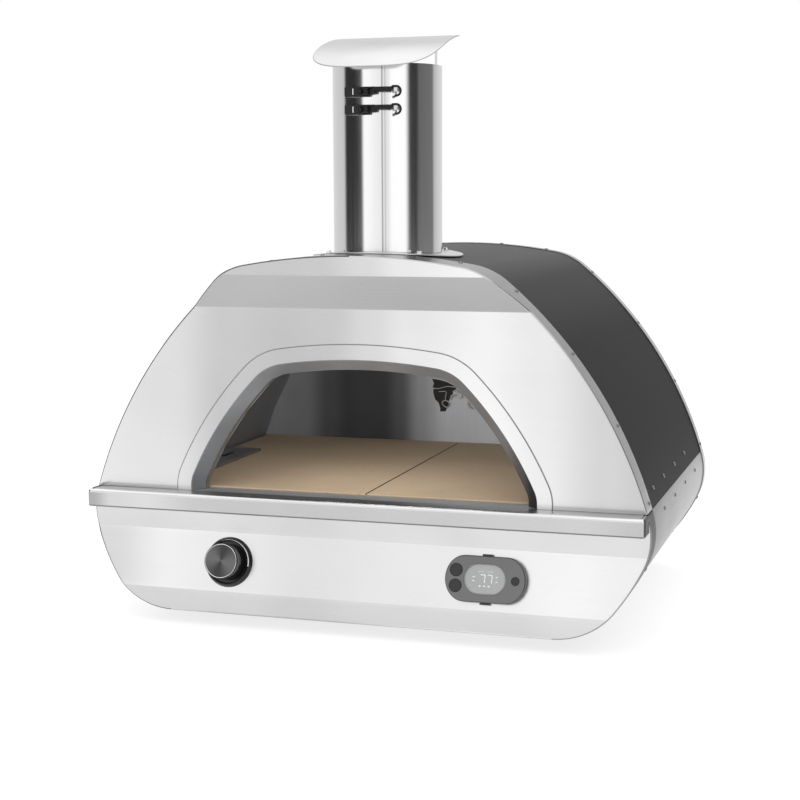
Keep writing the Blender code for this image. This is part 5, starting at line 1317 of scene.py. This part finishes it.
@dataclass
class Fasteners:
    """Domed heads along the rims and the seams."""

    radius: float = 0.0030
    height: float = 0.0014
    front_depth: float = 0.0300
    rear_depth: float = BODY_DEPTH - 0.0095
    rim_heights: tuple[float, ...] = (0.0500, 0.1070, 0.1935, 0.2927, 0.3840, 0.4633)
    crown_places: Pair = (0.0586, 0.1326)
    seam_rows: tuple[tuple[float, tuple[float, ...]], ...] = (
        (0.1687, (0.1338, 0.2348, 0.3386, 0.4459)), (0.2035, (0.0924, 0.1867, 0.2895, 0.3927)))

    def build(self) -> None:
        """Make all heads as one piece."""
        z = np.array(self.rim_heights)
        cx = np.array(self.crown_places)
        plane = np.vstack([np.stack([BODY.width(z), z], 1), np.stack([cx, BODY.crown(cx)], 1)])
        lean = cx / BODY.radii[-1]
        normal = np.vstack([BODY.normal(z), np.stack([lean, np.sqrt(1 - lean ** 2)], 1)])
        spots, turns = [], []
        for depth in (self.front_depth, self.rear_depth):
            spots.append(place(plane, depth))
            turns.append(facing(normal))
        for height, depths in self.seam_rows:
            n = np.repeat(BODY.normal(np.array([height])), len(depths), axis=0)
            p = np.array([[float(BODY.width(height)), height]]) - (SHEET + GAP) * n
            spots.append(place(p, np.array(depths)))
            turns.append(facing(n))
        heads = self._heads(np.vstack(spots), np.vstack(turns))
        Piece("screws", [heads, heads.mirrored()], SCREW).build()

    def _heads(self, spots: Array, turns: Array) -> Sheet:
        """Domes on given points: spot + r (cos a) t + r (sin a) y + h n, for rings r, h.

        Args:
            spots: Centres as (K, 3).
            turns: Normals as (K, 3), square to Y.

        Returns:
            One patch with every dome.
        """
        ring = np.array([[1.0, -0.1], [1.0, 0.25], [0.90, 0.62], [0.68, 0.86], [0.38, 0.97],
                         [0.0, 1.0]])
        a = circle(16)
        side = np.stack([turns[:, 2], np.zeros(len(turns)), -turns[:, 0]], 1)
        along = np.array([0.0, 1.0, 0.0])
        r = ring[:, 0] * self.radius
        h = ring[:, 1] * self.height
        points = (spots[:, None, None] + (r[:, None] * np.cos(a))[None, ..., None]
                  * side[:, None, None] + (r[:, None] * np.sin(a))[None, ..., None] * along
                  + h[None, :, None, None] * turns[:, None, None])
        return join([Sheet.grid(p, closed_v=True, cap_u=True) for p in points])


# Chimney

@dataclass
class Chimney:
    """Slit sleeve, inner flue, base plate with its bolts, and the rolled cap."""

    radius: float = PIPE_RADIUS
    top: float = 0.7608
    flue_radius: float = 0.0734
    flue_sheet: float = 0.0010
    flue_ends: Pair = (0.4573, 0.7518)
    base_sheet: float = 0.0015
    base_radius: float = 0.1040
    bolt_circle: float = 0.0905
    slit_deg: float = 13.7
    slit_width: float = 0.0020
    cap_width: float = 0.0900
    cap_depth: float = 0.0953
    cap_top: float = 0.8075
    cap_roll: float = 0.3750
    cap_sheet: float = 0.0015
    cap_power: float = 3.9

    def build(self) -> None:
        """Make the chimney's pieces."""
        self._sleeve()
        flue = wall(self.flue_radius, self.flue_radius - self.flue_sheet, *self.flue_ends)
        Piece("flue", [lathe(flue, closed=True).moved(PIPE_AXIS)], STEEL_Z,
              replaces=("flue_pipe",)).build()
        self._plate()
        self._cap()

    def _sleeve(self) -> None:
        """Sleeve open at the slit: R (cos a, sin a), with its foot on the crown's curve."""
        half = self.slit_width / 2 / self.radius
        start = -math.pi / 2 + math.radians(self.slit_deg) + half
        a = np.linspace(start, start + 2 * math.pi - 2 * half, 241)
        tall = 0.25
        section = rounded(wall(self.radius, self.radius - SHEET, 0.0, tall), 0.0004, 2)
        points = spun(a, section)
        rise = section[None, :, 1]
        foot = BODY.crown(points[..., 0]) + self.base_sheet + 2 * GAP + rise
        points[..., 2] = np.where(rise < tall / 2, foot, self.top - tall + rise)
        tones = np.zeros((len(a) - 1, len(section)), dtype=int)
        # The faces each side of the slit take darker copies of the sleeve's steel: painted shade in
        # the slit.
        tones[-1], tones[0] = 1, 2
        sheet = Sheet.grid(points, closed_v=True, cap_u=True, tones=tones)
        Piece("sleeve", [sheet.moved(PIPE_AXIS)], STEEL_Z, replaces=("chimney_sleeve",),
              extra=(SEAM_SHADE_DARK, SEAM_SHADE_SOFT)).build()
        a = start - half + np.linspace(-3, 3, 7) * half
        inside = self.radius - SHEET
        strip = spun(a, wall(inside - 0.0001, inside - 0.0003, 0.470, self.top - 0.0004))
        Piece("sleeve_seam_strip", [Sheet.grid(strip, closed_v=True, cap_u=True)
                                    .moved(PIPE_AXIS)], STEEL_Z).build()

    def _plate(self) -> None:
        """Base plate: a ring whose height follows the crown, and its hexagon bolts."""
        low, high = GAP, GAP + self.base_sheet
        section = rounded(box(self.flue_radius + GAP, low, self.base_radius, high), 0.0004, 3)
        points = spun(circle(160), section)
        points[..., 2] = BODY.crown(points[..., 0]) + section[None, :, 1]
        plate = Sheet.grid(points, closed_u=True, closed_v=True)
        Piece("base_plate", [plate.moved(PIPE_AXIS)], STEEL_PLATE,
              replaces=("chimney_base_plate",)).build()
        washer = lathe([[0.0, 0.0009], [0.0044, 0.0009], [0.0048, 0.0005], [0.0048, 0.0]], 24)
        head = lathe([[0.0, 0.0036], [0.0026, 0.0036], [0.0032, 0.0031], [0.0032, 0.0009]], 6)
        bolts = []
        for k in range(4):
            x, y = (self.bolt_circle * f((k + 0.5) * math.pi / 2) for f in (math.cos, math.sin))
            spot = Matrix.Translation((x, y, float(BODY.crown(x)) + high))
            lean = Matrix.Rotation(math.asin(x / BODY.radii[-1]), 4, 'Y')
            bolts += [s.moved(PIPE_AXIS @ spot @ lean) for s in (washer, head)]
        Piece("base_plate_bolts", bolts, POLISHED).build()

    def _cap(self) -> None:
        """Cap: a superellipse plan laid on a cylinder that rolls about X."""
        a = circle(176)
        x, y = (np.sign(f) * np.abs(f) ** (2 / self.cap_power) for f in (np.cos(a), np.sin(a)))
        t = self.cap_sheet
        b = np.linspace(0, math.pi, 7)
        share = np.linspace(0, 1, 14)
        rows = np.concatenate([share, np.ones(7), share[::-1]])
        inset = np.concatenate([-t / 2 * share, t / 2 * (np.sin(b) - 1), -t / 2 * share[::-1]])
        drop = np.concatenate([np.zeros(14), t / 2 * (1 - np.cos(b)), np.full(14, t)])
        px = rows[:, None] * x[None] * self.cap_width + inset[:, None] * x[None]
        py = rows[:, None] * y[None] * self.cap_depth + inset[:, None] * y[None]
        z = self.cap_top - self.cap_roll + np.sqrt(self.cap_roll ** 2
                                                   - (self.cap_depth - py) ** 2)
        grid = np.stack([px, py, z - drop[:, None]], -1)
        tones = np.zeros((len(rows) - 1, len(a)), dtype=int)
        # The rolled edge takes a darker copy of the steel: painted shade.
        tones[14:20] = 1
        Piece("cap", [Sheet.grid(grid, closed_v=True, tones=tones).moved(PIPE_AXIS)], STEEL_CAP,
              body="chimney_hood", replaces=("chimney_cap",), sharp_deg=60,
              extra=(SEAM_SHADE_DARK,)).build()


@dataclass
class Latch:
    """One draw latch: tapered lever, threaded rod with its hook, and the catch post.

    Attributes:
        tag: End of the names of its nodes.
        height: Height of its middle.
    """

    tag: str
    height: float
    angle_deg: float = 4.0
    sleeve: float = PIPE_RADIUS

    def build(self) -> None:
        """Make the moving pieces, the nose of the base and the catch."""
        tag = self.tag
        lever = [[-0.0385, -0.0060], [-0.0300, -0.0064], [-0.0118, -0.0054],
                 [-0.0118, 0.0060], [-0.0300, 0.0064], [-0.0385, 0.0060]]
        neck = box(-0.0130, -0.0023, -0.0046, 0.0023)
        sheets = [self._plate(lever, 0.0014, 0.0046, 0.0074),
                  self._plate(neck, 0.0004, 0.0046, 0.0072),
                  self._ring(-0.0080, 0.0110, 0.0015, 0.0034),
                  self._ring(-0.0165, 0.0098, 0.0014, 0.0030)]
        Piece(f"latch_{tag}_handle", sheets, LATCH, Slot.LATCH, body=f"lever_{tag}",
              replaces=(f"latch_lever_{tag}",), bevel=0.0003).build()
        pin = tube(self._path([[-0.0267, -0.0040, 0.0079], [-0.0267, 0.0040, 0.0079]]), 0.0012)
        Piece(f"latch_{tag}_pin", [pin], CHROME, Slot.LATCH, body=f"lever_{tag}").build()
        self._bail()
        nose = [[-0.0042, -0.0040], [0.0064, -0.0032], [0.0064, 0.0050], [-0.0042, 0.0058]]
        Piece(f"latch_{tag}_nose", [self._plate(nose, 0.0008, 0.0004, 0.0068)], LATCH,
              Slot.LATCH, bevel=0.0003).build()
        post = self._plate(box(0.0298, -0.0012, 0.0350, 0.0046), 0.0006, 0.0004, 0.0118)
        Piece(f"latch_{tag}_post", [post], CATCH, Slot.LATCH,
              replaces=(f"latch_catch_{tag}",), bevel=0.0003).build()

    def _bail(self) -> None:
        """Pin, bar and threaded rod in line, and the hook that curls down over the post."""
        rise, wire = 0.0098, 0.0013
        bar = self._path([[-0.0165, -0.0036, rise], [-0.0165, 0.0050, rise],
                          [0.0030, 0.0050, rise]])
        t = np.linspace(0, 1, 121)
        x = 0.0020 + 0.0256 * t
        ribs = 0.0031 + 0.0002 * np.cos(2 * math.pi * 16 * t)
        rod = lathe(np.vstack([[[0.0, x[0]]], np.stack([ribs, x], 1), [[0.0, x[-1]]]]), 20)
        lay = (self._frame() @ Matrix.Translation((0, -self.sleeve - rise, 0.0029))
               @ Matrix.Rotation(math.pi / 2, 4, 'Y'))
        a = np.linspace(math.pi / 2, -math.pi / 2, 17)
        curl = np.stack([0.0328 + 0.0060 * np.cos(a), 0.0062 * np.sin(a), np.full(17, rise)], 1)
        hook = self._path(np.vstack([[[0.0262, 0.0040, rise], [0.0280, 0.0062, rise]], curl,
                                     [[0.0308, -0.0062, rise]]]))
        Piece(f"latch_{self.tag}_rod", [tube(bar, wire), rod.moved(lay), tube(hook, 0.0016)],
              LATCH, Slot.LATCH, body=f"bail_{self.tag}",
              replaces=(f"latch_bail_{self.tag}",)).build()

    def _frame(self) -> Matrix:
        """Matrix of the latch: x to the right, -y out of the sleeve, z up."""
        return (PIPE_AXIS @ Matrix.Translation((0, 0, self.height))
                @ Matrix.Rotation(math.radians(self.angle_deg), 4, 'Z'))

    def _plate(self, outline: ArrayLike, radius: float, low: float, high: float) -> Sheet:
        """Plate from an (x, z) outline, between two rises over the sleeve."""
        lay = self._frame() @ Matrix.Translation((0, -self.sleeve, 0)) @ UPRIGHT
        return extruded(rounded(outline, radius), low, high).moved(lay)

    def _ring(self, x: float, rise: float, inner: float, outer: float) -> Sheet:
        """Upright eye of the lever round a pin."""
        spot = self._frame() @ Matrix.Translation((x, -self.sleeve - rise, 0))
        return lathe(box(inner, -0.0023, outer, 0.0023), 24, closed=True).moved(spot)

    def _path(self, points: ArrayLike) -> Array:
        """(x, z, rise) points of the latch in the row frame."""
        p = np.asarray(points)
        local = np.stack([p[:, 0], -self.sleeve - p[:, 2], p[:, 1]], 1)
        m = np.array(self._frame())
        return local @ m[:3, :3].T + m[:3, 3]


# Controls

@dataclass
class ControlFrame:
    """The leaning control face: maps a local frame whose -Y faces out of it."""

    lean: float = math.radians(15.4034)
    depth: float = -0.0107724
    height: float = 0.0890

    def at(self, x: float) -> Matrix:
        """Matrix of the point on the face at x."""
        spot = Matrix.Translation((x, FACE_Y + self.depth, self.height))
        return spot @ Matrix.Rotation(-self.lean, 4, 'X')

    def turned(self, x: float, z: float = 0.0) -> Matrix:
        """Matrix that turns a local Z to face out of the control face at (x, z)."""
        return self.at(x) @ Matrix.Translation((0, 0, z)) @ UPRIGHT


CONTROL = ControlFrame()


@dataclass
class GasKnob:
    """Knob with a bright ring and a spun dark insert, on a dished gloss bezel with a painted
    highlight arc.
    """

    x: float = -0.1843
    bezel: float = 0.0345
    bezel_face: float = 0.0320
    bezel_height: float = 0.0060
    dish: float = 0.0292
    dish_floor: float = 0.0025
    radius: float = 0.0242
    skirt: float = 0.0247
    front: float = 0.0300
    back: float = 0.0080
    insert: float = 0.0220
    # Radius of the painted highlight arc on the bezel.
    glint_radius: float = 0.0300

    def build(self) -> None:
        """Make the bezel, the knob, its bright ring, its insert and the bezel's painted highlight
        arc.
        """
        turn = CONTROL.turned(self.x)
        h = self.bezel_height
        profile = rounded([[0.008, GAP], [self.bezel, GAP], [self.bezel_face, h],
                           [self.dish, h], [self.dish, self.dish_floor],
                           [0.008, self.dish_floor]],
                          [0, 0.0004, 0.0014, 0.0010, 0.0010, 0], 5)
        Piece("bezel", [lathe(profile, closed=True).moved(turn)], GLOSS, Slot.GLOSS,
              replaces=("knob_bezel",), sharp_deg=60).build()
        f = self.front
        rim = self.insert + 0.0010
        body = rounded([[0.0, self.back], [self.skirt, self.back], [self.radius, f - 0.0014],
                        [rim, f - 0.0002], [rim, f - 0.0012], [0.0, f - 0.0012]],
                       [0, 0.0012, 0.0008, 0.0002, 0.0002, 0], 5, closed=False)
        Piece("knob_body", [lathe(body).moved(turn)], GLOSS, Slot.GLOSS, body="gas_knob",
              replaces=("knob",), sharp_deg=60).build()
        face = [[0.0, f - 0.0006], [self.insert, f - 0.0006], [self.insert, f - 0.0014],
                [0.0, f - 0.0014]]
        middle = turn @ Vector((0, 0, f))
        # The insert's broad light and dark sectors are painted sheen.
        rays = SpunFinish("knob_insert_spun", (0.080, 0.080, 0.081), 0.40, 0.35, 0.06, 0.20,
                          centre=tuple(middle), lean=-CONTROL.lean, rays=70.0, sectors=0.60)
        Piece("knob_insert", [lathe(face).moved(turn)], rays, Slot.DARK,
              body="gas_knob", replaces=("knob_face",)).build()
        ring = rounded(box(self.insert + 0.0001, f - 0.0012, rim - 0.0001, f), 0.0003, 3)
        # A thin near-white arc on the bezel that widens to the right: painted highlight of the
        # bezel's rounded edge.
        a = np.radians(np.linspace(112.0, -8.0, 61))
        wide = np.linspace(0.0002, 0.0014, 61)
        arc = np.stack([np.stack([r * np.cos(a), r * np.sin(a), np.full(61, h + z)], 1)
                        for r, z in ((self.glint_radius, 0.0), (self.glint_radius, 0.0001),
                                     (self.glint_radius + wide, 0.0001), (self.glint_radius + wide, 0.0))], 1)
        Piece("bezel_painted_glint", [Sheet.grid(arc, closed_v=True, cap_u=True).moved(turn)], PRINT_AND_GLINT,
              Slot.DISPLAY).build()
        Piece("knob_ring", [lathe(ring, closed=True).moved(turn)], CHROME, Slot.DARK,
              body="gas_knob").build()


def oval(width: float, height: float, end: float) -> Array:
    """Closed oval with straight long sides and elliptical ends.

    Args:
        width: Whole width.
        height: Whole height.
        end: Half axis of the ends.

    Returns:
        Points as (N, 2), anticlockwise.
    """
    a = -math.pi / 2 + math.pi * np.arange(33) / 32
    right = np.stack([width / 2 - end + end * np.cos(a), height / 2 * np.sin(a)], axis=1)
    return np.vstack([right, -right])


@dataclass
class Thermometer:
    """Digital thermometer: oval case, clear window, display with its segments, buttons."""

    x: float = 0.1800
    width: float = 0.1076
    height: float = 0.0606
    end: float = 0.0260
    back: float = 0.0021
    front: float = 0.0131
    wall: float = 0.0016
    edge: float = 0.0020
    window: Triple = (0.0557, 0.0397, 0.0190)
    display: Pair = (0.0094, 0.0112)
    buttons: tuple[tuple[str, float, float, float], ...] = (
        ("up", -0.0390, 0.0102, 0.0083), ("down", -0.0390, -0.0102, 0.0083),
        ("power", 0.0405, 0.0, 0.0052))

    def build(self) -> None:
        """Make the case, the window, the display and the buttons."""
        turn = CONTROL.turned(self.x)
        self._case(turn)
        glass = oval(*self.window)
        Piece("window", [extruded(glass, self.front - 0.0010, self.front).moved(turn)], WINDOW,
              Slot.WINDOW, replaces=("thermometer_window",)).build()
        Piece("display", [extruded(glass, *self.display).moved(turn)], DISPLAY, Slot.DISPLAY,
              replaces=("thermometer_display",)).build()
        Piece("display_segments", [s.moved(turn) for s in self._segments()], PRINT_AND_GLINT,
              Slot.DISPLAY).build()
        self._buttons()

    def _loop(self, inset: float, height: float, window: bool = False) -> Array:
        """Points of the case's oval, or the window's, at an inset and a height."""
        w, h, e = self.window if window else (self.width, self.height, self.end)
        flat = oval(w - 2 * inset, h - 2 * inset, e - inset)
        return np.column_stack([flat, np.full(len(flat), height)])

    def _case(self, turn: Matrix) -> None:
        """Case: ovals from the back edge over the rounded front to the window and inside."""
        a = np.linspace(0, math.pi / 2, 7)
        r, front, wall = self.edge, self.front, self.wall
        rows = [self._loop(0.0, self.back)]
        rows += [self._loop(r * (1 - math.cos(t)), front - r + r * math.sin(t)) for t in a]
        rows.append(self._loop(r + 0.0004, front))
        rows += [self._loop(inset, front - drop, True)
                 for inset, drop in ((-0.0010, 0.0), (-0.0006, 0.0001), (-0.0003, 0.0005),
                                     (-0.0003, 0.0013), (0.0015, 0.0013), (0.0015, wall))]
        rows += [self._loop(wall, front - wall), self._loop(wall, self.back)]
        tools = [lathe(box(0.0, front - 0.004, radius + 0.0004, front + 0.004), 64)
                 .moved(CONTROL.turned(self.x + x, z)) for _, x, z, radius in self.buttons]
        tones = np.zeros((len(rows), len(rows[0])), dtype=int)
        # The side wall and outer part of the rounded edge take the near-black tone: painted shade.
        tones[:5] = 1
        Piece("thermometer_case", [Sheet.grid(np.array(rows), closed_u=True, closed_v=True,
                                              tones=tones).moved(turn)],
              PLASTIC, Slot.PLASTIC, replaces=("thermometer_housing",),
              cutters=tuple(tools), sharp_deg=40, extra=(PLASTIC_DARK_AND_EDGE_SHADE,)).build()

    def _segments(self) -> list[Sheet]:
        """Two seven-segment figures, small dashes, blocks and side marks on the display."""
        boxes = []
        for left in (-0.0065, 0.0030):
            boxes += [(left, 0.0052, left + 0.0066, 0.0064), (left + 0.0056, 0.0008,
                      left + 0.0068, 0.0056), (left + 0.0052, -0.0046, left + 0.0064, 0.0002)]
        boxes += [(x, 0.0094, x + 0.0020, 0.0102) for x in (-0.0090, -0.0050, 0.0030, 0.0070)]
        boxes += [(x, -0.0096, x + 0.0026, -0.0080) for x in (-0.0080, -0.0020, 0.0040)]
        boxes += [(-0.0170, z, -0.0140, z + 0.0012) for z in (-0.0030, 0.0020)]
        boxes += [(0.0140, z, 0.0166, z + 0.0012) for z in (-0.0030, 0.0030)]
        low = self.display[1] + 0.00005
        return [extruded(box(*corners), low, low + 0.0002) for corners in boxes]

    def _buttons(self) -> None:
        """Domed button caps with a flange behind the case's front."""
        front = self.front
        for name, x, z, radius in self.buttons:
            profile = rounded([[0.0, front + 0.0010], [radius * 0.60, front + 0.0012],
                               [radius * 0.94, front + 0.0010], [radius, front + 0.0002],
                               [radius, front - 0.0019], [radius + 0.001, front - 0.0019],
                               [radius + 0.001, front - 0.0027], [0.0, front - 0.0027]],
                              0.0003, 3, closed=False)
            cap = lathe(profile, 64).moved(CONTROL.turned(self.x + x, z))
            Piece(f"button_{name}_cap", [cap], BUTTON, Slot.BUTTON,
                  body=f"thermometer_button_{name}",
                  replaces=(f"button_{name}",), sharp_deg=60).build()


@dataclass
class ChamberFittings:
    """Probe's dark patch, leads and clip on the back wall, and the joint of the stones."""

    wall_depth: float = 0.5085
    patch: Pairs = (
        (-0.0469, 0.2887), (-0.0308, 0.2864), (-0.0207, 0.2836), (-0.0122, 0.2796),
        (-0.0053, 0.2756), (-0.0072, 0.2721), (-0.0120, 0.2690), (-0.0110, 0.2652),
        (-0.0154, 0.2615), (-0.0175, 0.2553), (-0.0195, 0.2512), (-0.0173, 0.2471),
        (-0.0215, 0.2422), (-0.0239, 0.2357), (-0.0331, 0.2352), (-0.0329, 0.2402),
        (-0.0358, 0.2498), (-0.0412, 0.2544), (-0.0429, 0.2586), (-0.0449, 0.2676),
        (-0.0442, 0.2724), (-0.0456, 0.2763), (-0.0435, 0.2809))
    leads: tuple[tuple[float, Pairs], ...] = (
        (0.0008, ((-0.0447, 0.2735), (-0.0390, 0.2733), (-0.0322, 0.2739), (-0.0246, 0.2761),
                  (-0.0178, 0.2773), (-0.0119, 0.2768), (-0.0052, 0.2764))),
        (0.0008, ((-0.0339, 0.2682), (-0.0271, 0.2689), (-0.0224, 0.2686), (-0.0214, 0.2657),
                  (-0.0227, 0.2606), (-0.0231, 0.2556))),
        (0.0010, ((-0.0239, 0.2544), (-0.0276, 0.2520), (-0.0284, 0.2496), (-0.0262, 0.2461),
                  (-0.0222, 0.2433), (-0.0191, 0.2437), (-0.0164, 0.2478), (-0.0171, 0.2507),
                  (-0.0205, 0.2535), (-0.0239, 0.2544))),
        (0.0014, ((-0.0144, 0.2560), (-0.0134, 0.2593), (-0.0100, 0.2621), (-0.0050, 0.2640),
                  (-0.0013, 0.2646))),
        (0.0013, ((-0.0094, 0.2699), (-0.0057, 0.2714), (-0.0020, 0.2702), (0.0004, 0.2673))),
        (0.0016, ((0.0146, 0.2523), (0.0160, 0.2476), (0.0185, 0.2440), (0.0228, 0.2425))))
    clip: Pairs = (
        (-0.0021, 0.2664), (0.0029, 0.2671), (0.0059, 0.2639), (0.0051, 0.2590),
        (-0.0006, 0.2585), (-0.0026, 0.2620))
    joint: tuple[float, float, float, float] = (0.0014, 0.0320, 0.5000, 0.1857)

    def build(self) -> None:
        """Make the patch, the leads with their clip, and the joint's filling."""
        lay = Matrix.Translation((0, FACE_Y + self.wall_depth - GAP, 0)) @ UPRIGHT
        Piece("probe_patch", [extruded(np.array(self.patch), 0.0, 0.0003).moved(lay)],
              PATCH, Slot.DARK).build()
        wires = [tube(smooth(place(np.array(points), self.wall_depth - 0.0045)), radius, 10)
                 for radius, points in self.leads]
        wires.append(extruded(rounded(self.clip[::-1], 0.0015), 0.0035, 0.0065).moved(lay))
        Piece("probe_leads", wires, LEAD, Slot.DARK, replaces=("temperature_probe",)).build()
        Piece("stone_joint", [slab(*self.joint, 0.0006)], PATCH, Slot.STONE).build()


# Studio

@dataclass
class Studio:
    """Pale floor, soft surroundings and the camera at the photograph's angle.

    Attributes:
        yaw_deg: Turn of the camera towards the right end.
        pitch_deg: Angle at which it looks down.
        roll_deg: Its turn about its own axis.
        distance: From the camera to the point that it aims at.
        aim: That point.
        lens_mm: Focal length, for a sensor 36 mm wide.
        bands: (degrees from the camera's own direction, level) of the boxes round the horizon.
        ceiling: Level overhead, with the heights between which it fades in.
        below: Level under the horizon, with its own fade.
        floor_glow: Light that the floor gives off.
        floor_half: Half of the floor's side.
        light_watts: Power of the light in the mouth.
        light_size: Its width and height.
        light_spot: Its place as x, depth and height.
        light_aim: The point that it faces, in the same way.
    """

    yaw_deg: float = 17.5196
    pitch_deg: float = 7.2780
    roll_deg: float = -0.2402
    distance: float = 2.1345
    aim: Triple = (0.0586, FACE_Y, 0.3197)
    lens_mm: float = 73.141
    bands: Pairs = (
        (-180.0, 0.85), (-115.0, 0.75), (-103.0, 0.70), (-98.0, 0.03), (-72.0, 0.025),
        (-56.0, 0.09), (-51.0, 1.30), (-42.0, 1.26), (-25.0, 1.14), (-12.0, 1.06), (-8.0, 0.92),
        (1.0, 1.0), (8.0, 1.32), (38.0, 1.32), (47.0, 0.045), (63.0, 0.03), (70.0, 0.16),
        (109.0, 0.20), (115.0, 0.60), (135.0, 0.78), (180.0, 0.85))
    ceiling: float = 1.55
    ceiling_fade: Pair = (0.50, 0.72)
    below: float = 1.05
    below_fade: Pair = (-0.05, -0.12)
    floor_glow: float = 0.78
    floor_half: float = 3.5
    light_watts: float = 0.35
    light_size: Pair = (0.30, 0.05)
    light_spot: Triple = (0.0, 0.075, 0.400)
    light_aim: Triple = (0.0, 0.30, 0.19)

    def build(self) -> None:
        """Make the floor, the world, the light and the camera."""
        bpy.context.scene.view_settings.view_transform = "Standard"
        self._floor()
        self._world()
        self._light()
        self._camera()

    def _floor(self) -> None:
        """Large plain floor."""
        size = self.floor_half
        mesh = bpy.data.meshes.new("floor")
        mesh.from_pydata([(-size, -size, 0), (size, -size, 0), (size, size, 0), (-size, size, 0)],
                         [], [(0, 1, 2, 3)])
        pale = Finish("floor_pale", even(0.30), 0.9, spread=0.03).build()
        sockets = pale.node_tree.nodes["Principled BSDF"].inputs
        sockets["Emission Color"].default_value = grey(1.0)
        sockets["Emission Strength"].default_value = self.floor_glow
        mesh.materials.append(pale)
        floor = bpy.data.objects.new("floor", mesh)
        bpy.context.scene.collection.objects.link(floor)

    def _world(self) -> None:
        """White behind the object; elsewhere soft boxes round the horizon and a ceiling."""
        world = bpy.data.worlds.new("studio")
        world.use_nodes = True
        shade = Shading(world.node_tree)
        axes = shade.axes(shade.mapped(shade.coordinates("Generated"),
                                       Rotation=(0.0, 0.0, -math.radians(self.yaw_deg))))
        angle = shade.math('ARCTAN2', axes["X"], shade.math('MULTIPLY', axes["Y"], -1.0))
        share = shade.ranged(angle, 0.0, 1.0, -math.pi, math.pi)
        colour = shade.ramp(share, [(degrees / 360.0 + 0.5, level)
                                    for degrees, level in self.bands])
        for level, (start, end) in ((self.below, self.below_fade),
                                    (self.ceiling, self.ceiling_fade)):
            fade = shade.ranged(axes["Z"], 0.0, 1.0, start, end,
                                interpolation_type='SMOOTHSTEP')
            colour = shade.mix(fade, colour, grey(level))
        seen = shade.node("LightPath").outputs["Is Camera Ray"]
        shade.feed(world.node_tree.nodes["Background"].inputs["Color"],
                   shade.mix(seen, colour, grey(1.0)))
        bpy.context.scene.world = world

    def _light(self) -> None:
        """Soft strip light behind the top of the mouth, aimed at the stones."""
        light = bpy.data.lights.new("mouth", 'AREA')
        light.energy = self.light_watts
        light.shape = 'RECTANGLE'
        light.size, light.size_y = self.light_size
        lamp = bpy.data.objects.new("mouth", light)
        spot, aim = (Vector((x, FACE_Y + depth, z)) for x, depth, z in (self.light_spot,
                                                                       self.light_aim))
        lamp.location = spot
        lamp.rotation_euler = (aim - spot).to_track_quat('-Z', 'Y').to_euler()
        bpy.context.scene.collection.objects.link(lamp)

    def _camera(self) -> None:
        """Camera fitted to the photograph's edges."""
        yaw, pitch = math.radians(self.yaw_deg), math.radians(self.pitch_deg)
        ahead = Vector((-math.sin(yaw) * math.cos(pitch), math.cos(yaw) * math.cos(pitch),
                        -math.sin(pitch)))
        camera = bpy.data.cameras.new("camera")
        camera.lens = self.lens_mm
        camera.sensor_width = 36.0
        obj = bpy.data.objects.new("camera", camera)
        obj.location = Vector(self.aim) - ahead * self.distance
        turn = ahead.to_track_quat('-Z', 'Y').to_matrix().to_4x4()
        turn = turn @ Matrix.Rotation(math.radians(self.roll_deg), 4, 'Z')
        obj.rotation_euler = turn.to_euler()
        bpy.context.scene.collection.objects.link(obj)
        bpy.context.scene.camera = obj


def dress_nodes() -> None:
    """Finish the CAD nodes that stay in view as they are."""
    dress("heat_shield thermometer_cell cap_collar", STEEL_X)
    dress("oven_chamber stone_tray burner_tube", CHAMBER)
    dress("burner_guard", SOOT)
    dress("floor_stone_left floor_stone_right", STONE, 0.0012)
    dress("insulation_blanket floor_insulation", WOOL)
    dress("gas_orifice flame_thermocouple gas_valve_body gas_supply_pipe gas_feed_pipe "
          "gas_inlet_fitting valve_stem valve_plug", BRASS)
    dress("igniter_electrode", CERAMIC)
    dress("cap_bracket_front cap_bracket_left", DARK)
    dress("cap_bracket_right", POLISHED)
    dress("latch_base_upper latch_base_lower", LATCH, 0.0003)
    dress("thermometer_cradle", PLASTIC_DARK_AND_EDGE_SHADE, 0.0004)
    dress("thermometer_back", PLASTIC)
    dress("thermometer_board", BOARD)
    dress("foot_front_left foot_front_right foot_rear_left foot_rear_right", FOOT)


def main() -> None:
    """Build every sub-assembly."""
    logging.basicConfig(level=logging.INFO)
    top = MOUTH.ledge_top
    for part in (FoldedPanel("front_upper", "front_panel_upper", low=top + GAP, mouth=True),
                 FoldedPanel("front_lower", "front_panel_lower", high=top - SHEET - GAP),
                 Casing(), Ledge(), MouthFrame(), Fasteners(), Chimney(),
                 Latch("upper", 0.7228), Latch("lower", 0.6993), GasKnob(), Thermometer(),
                 ChamberFittings(), Studio()):
        part.build()
    dress_nodes()


if __name__ == "__main__":
    main()
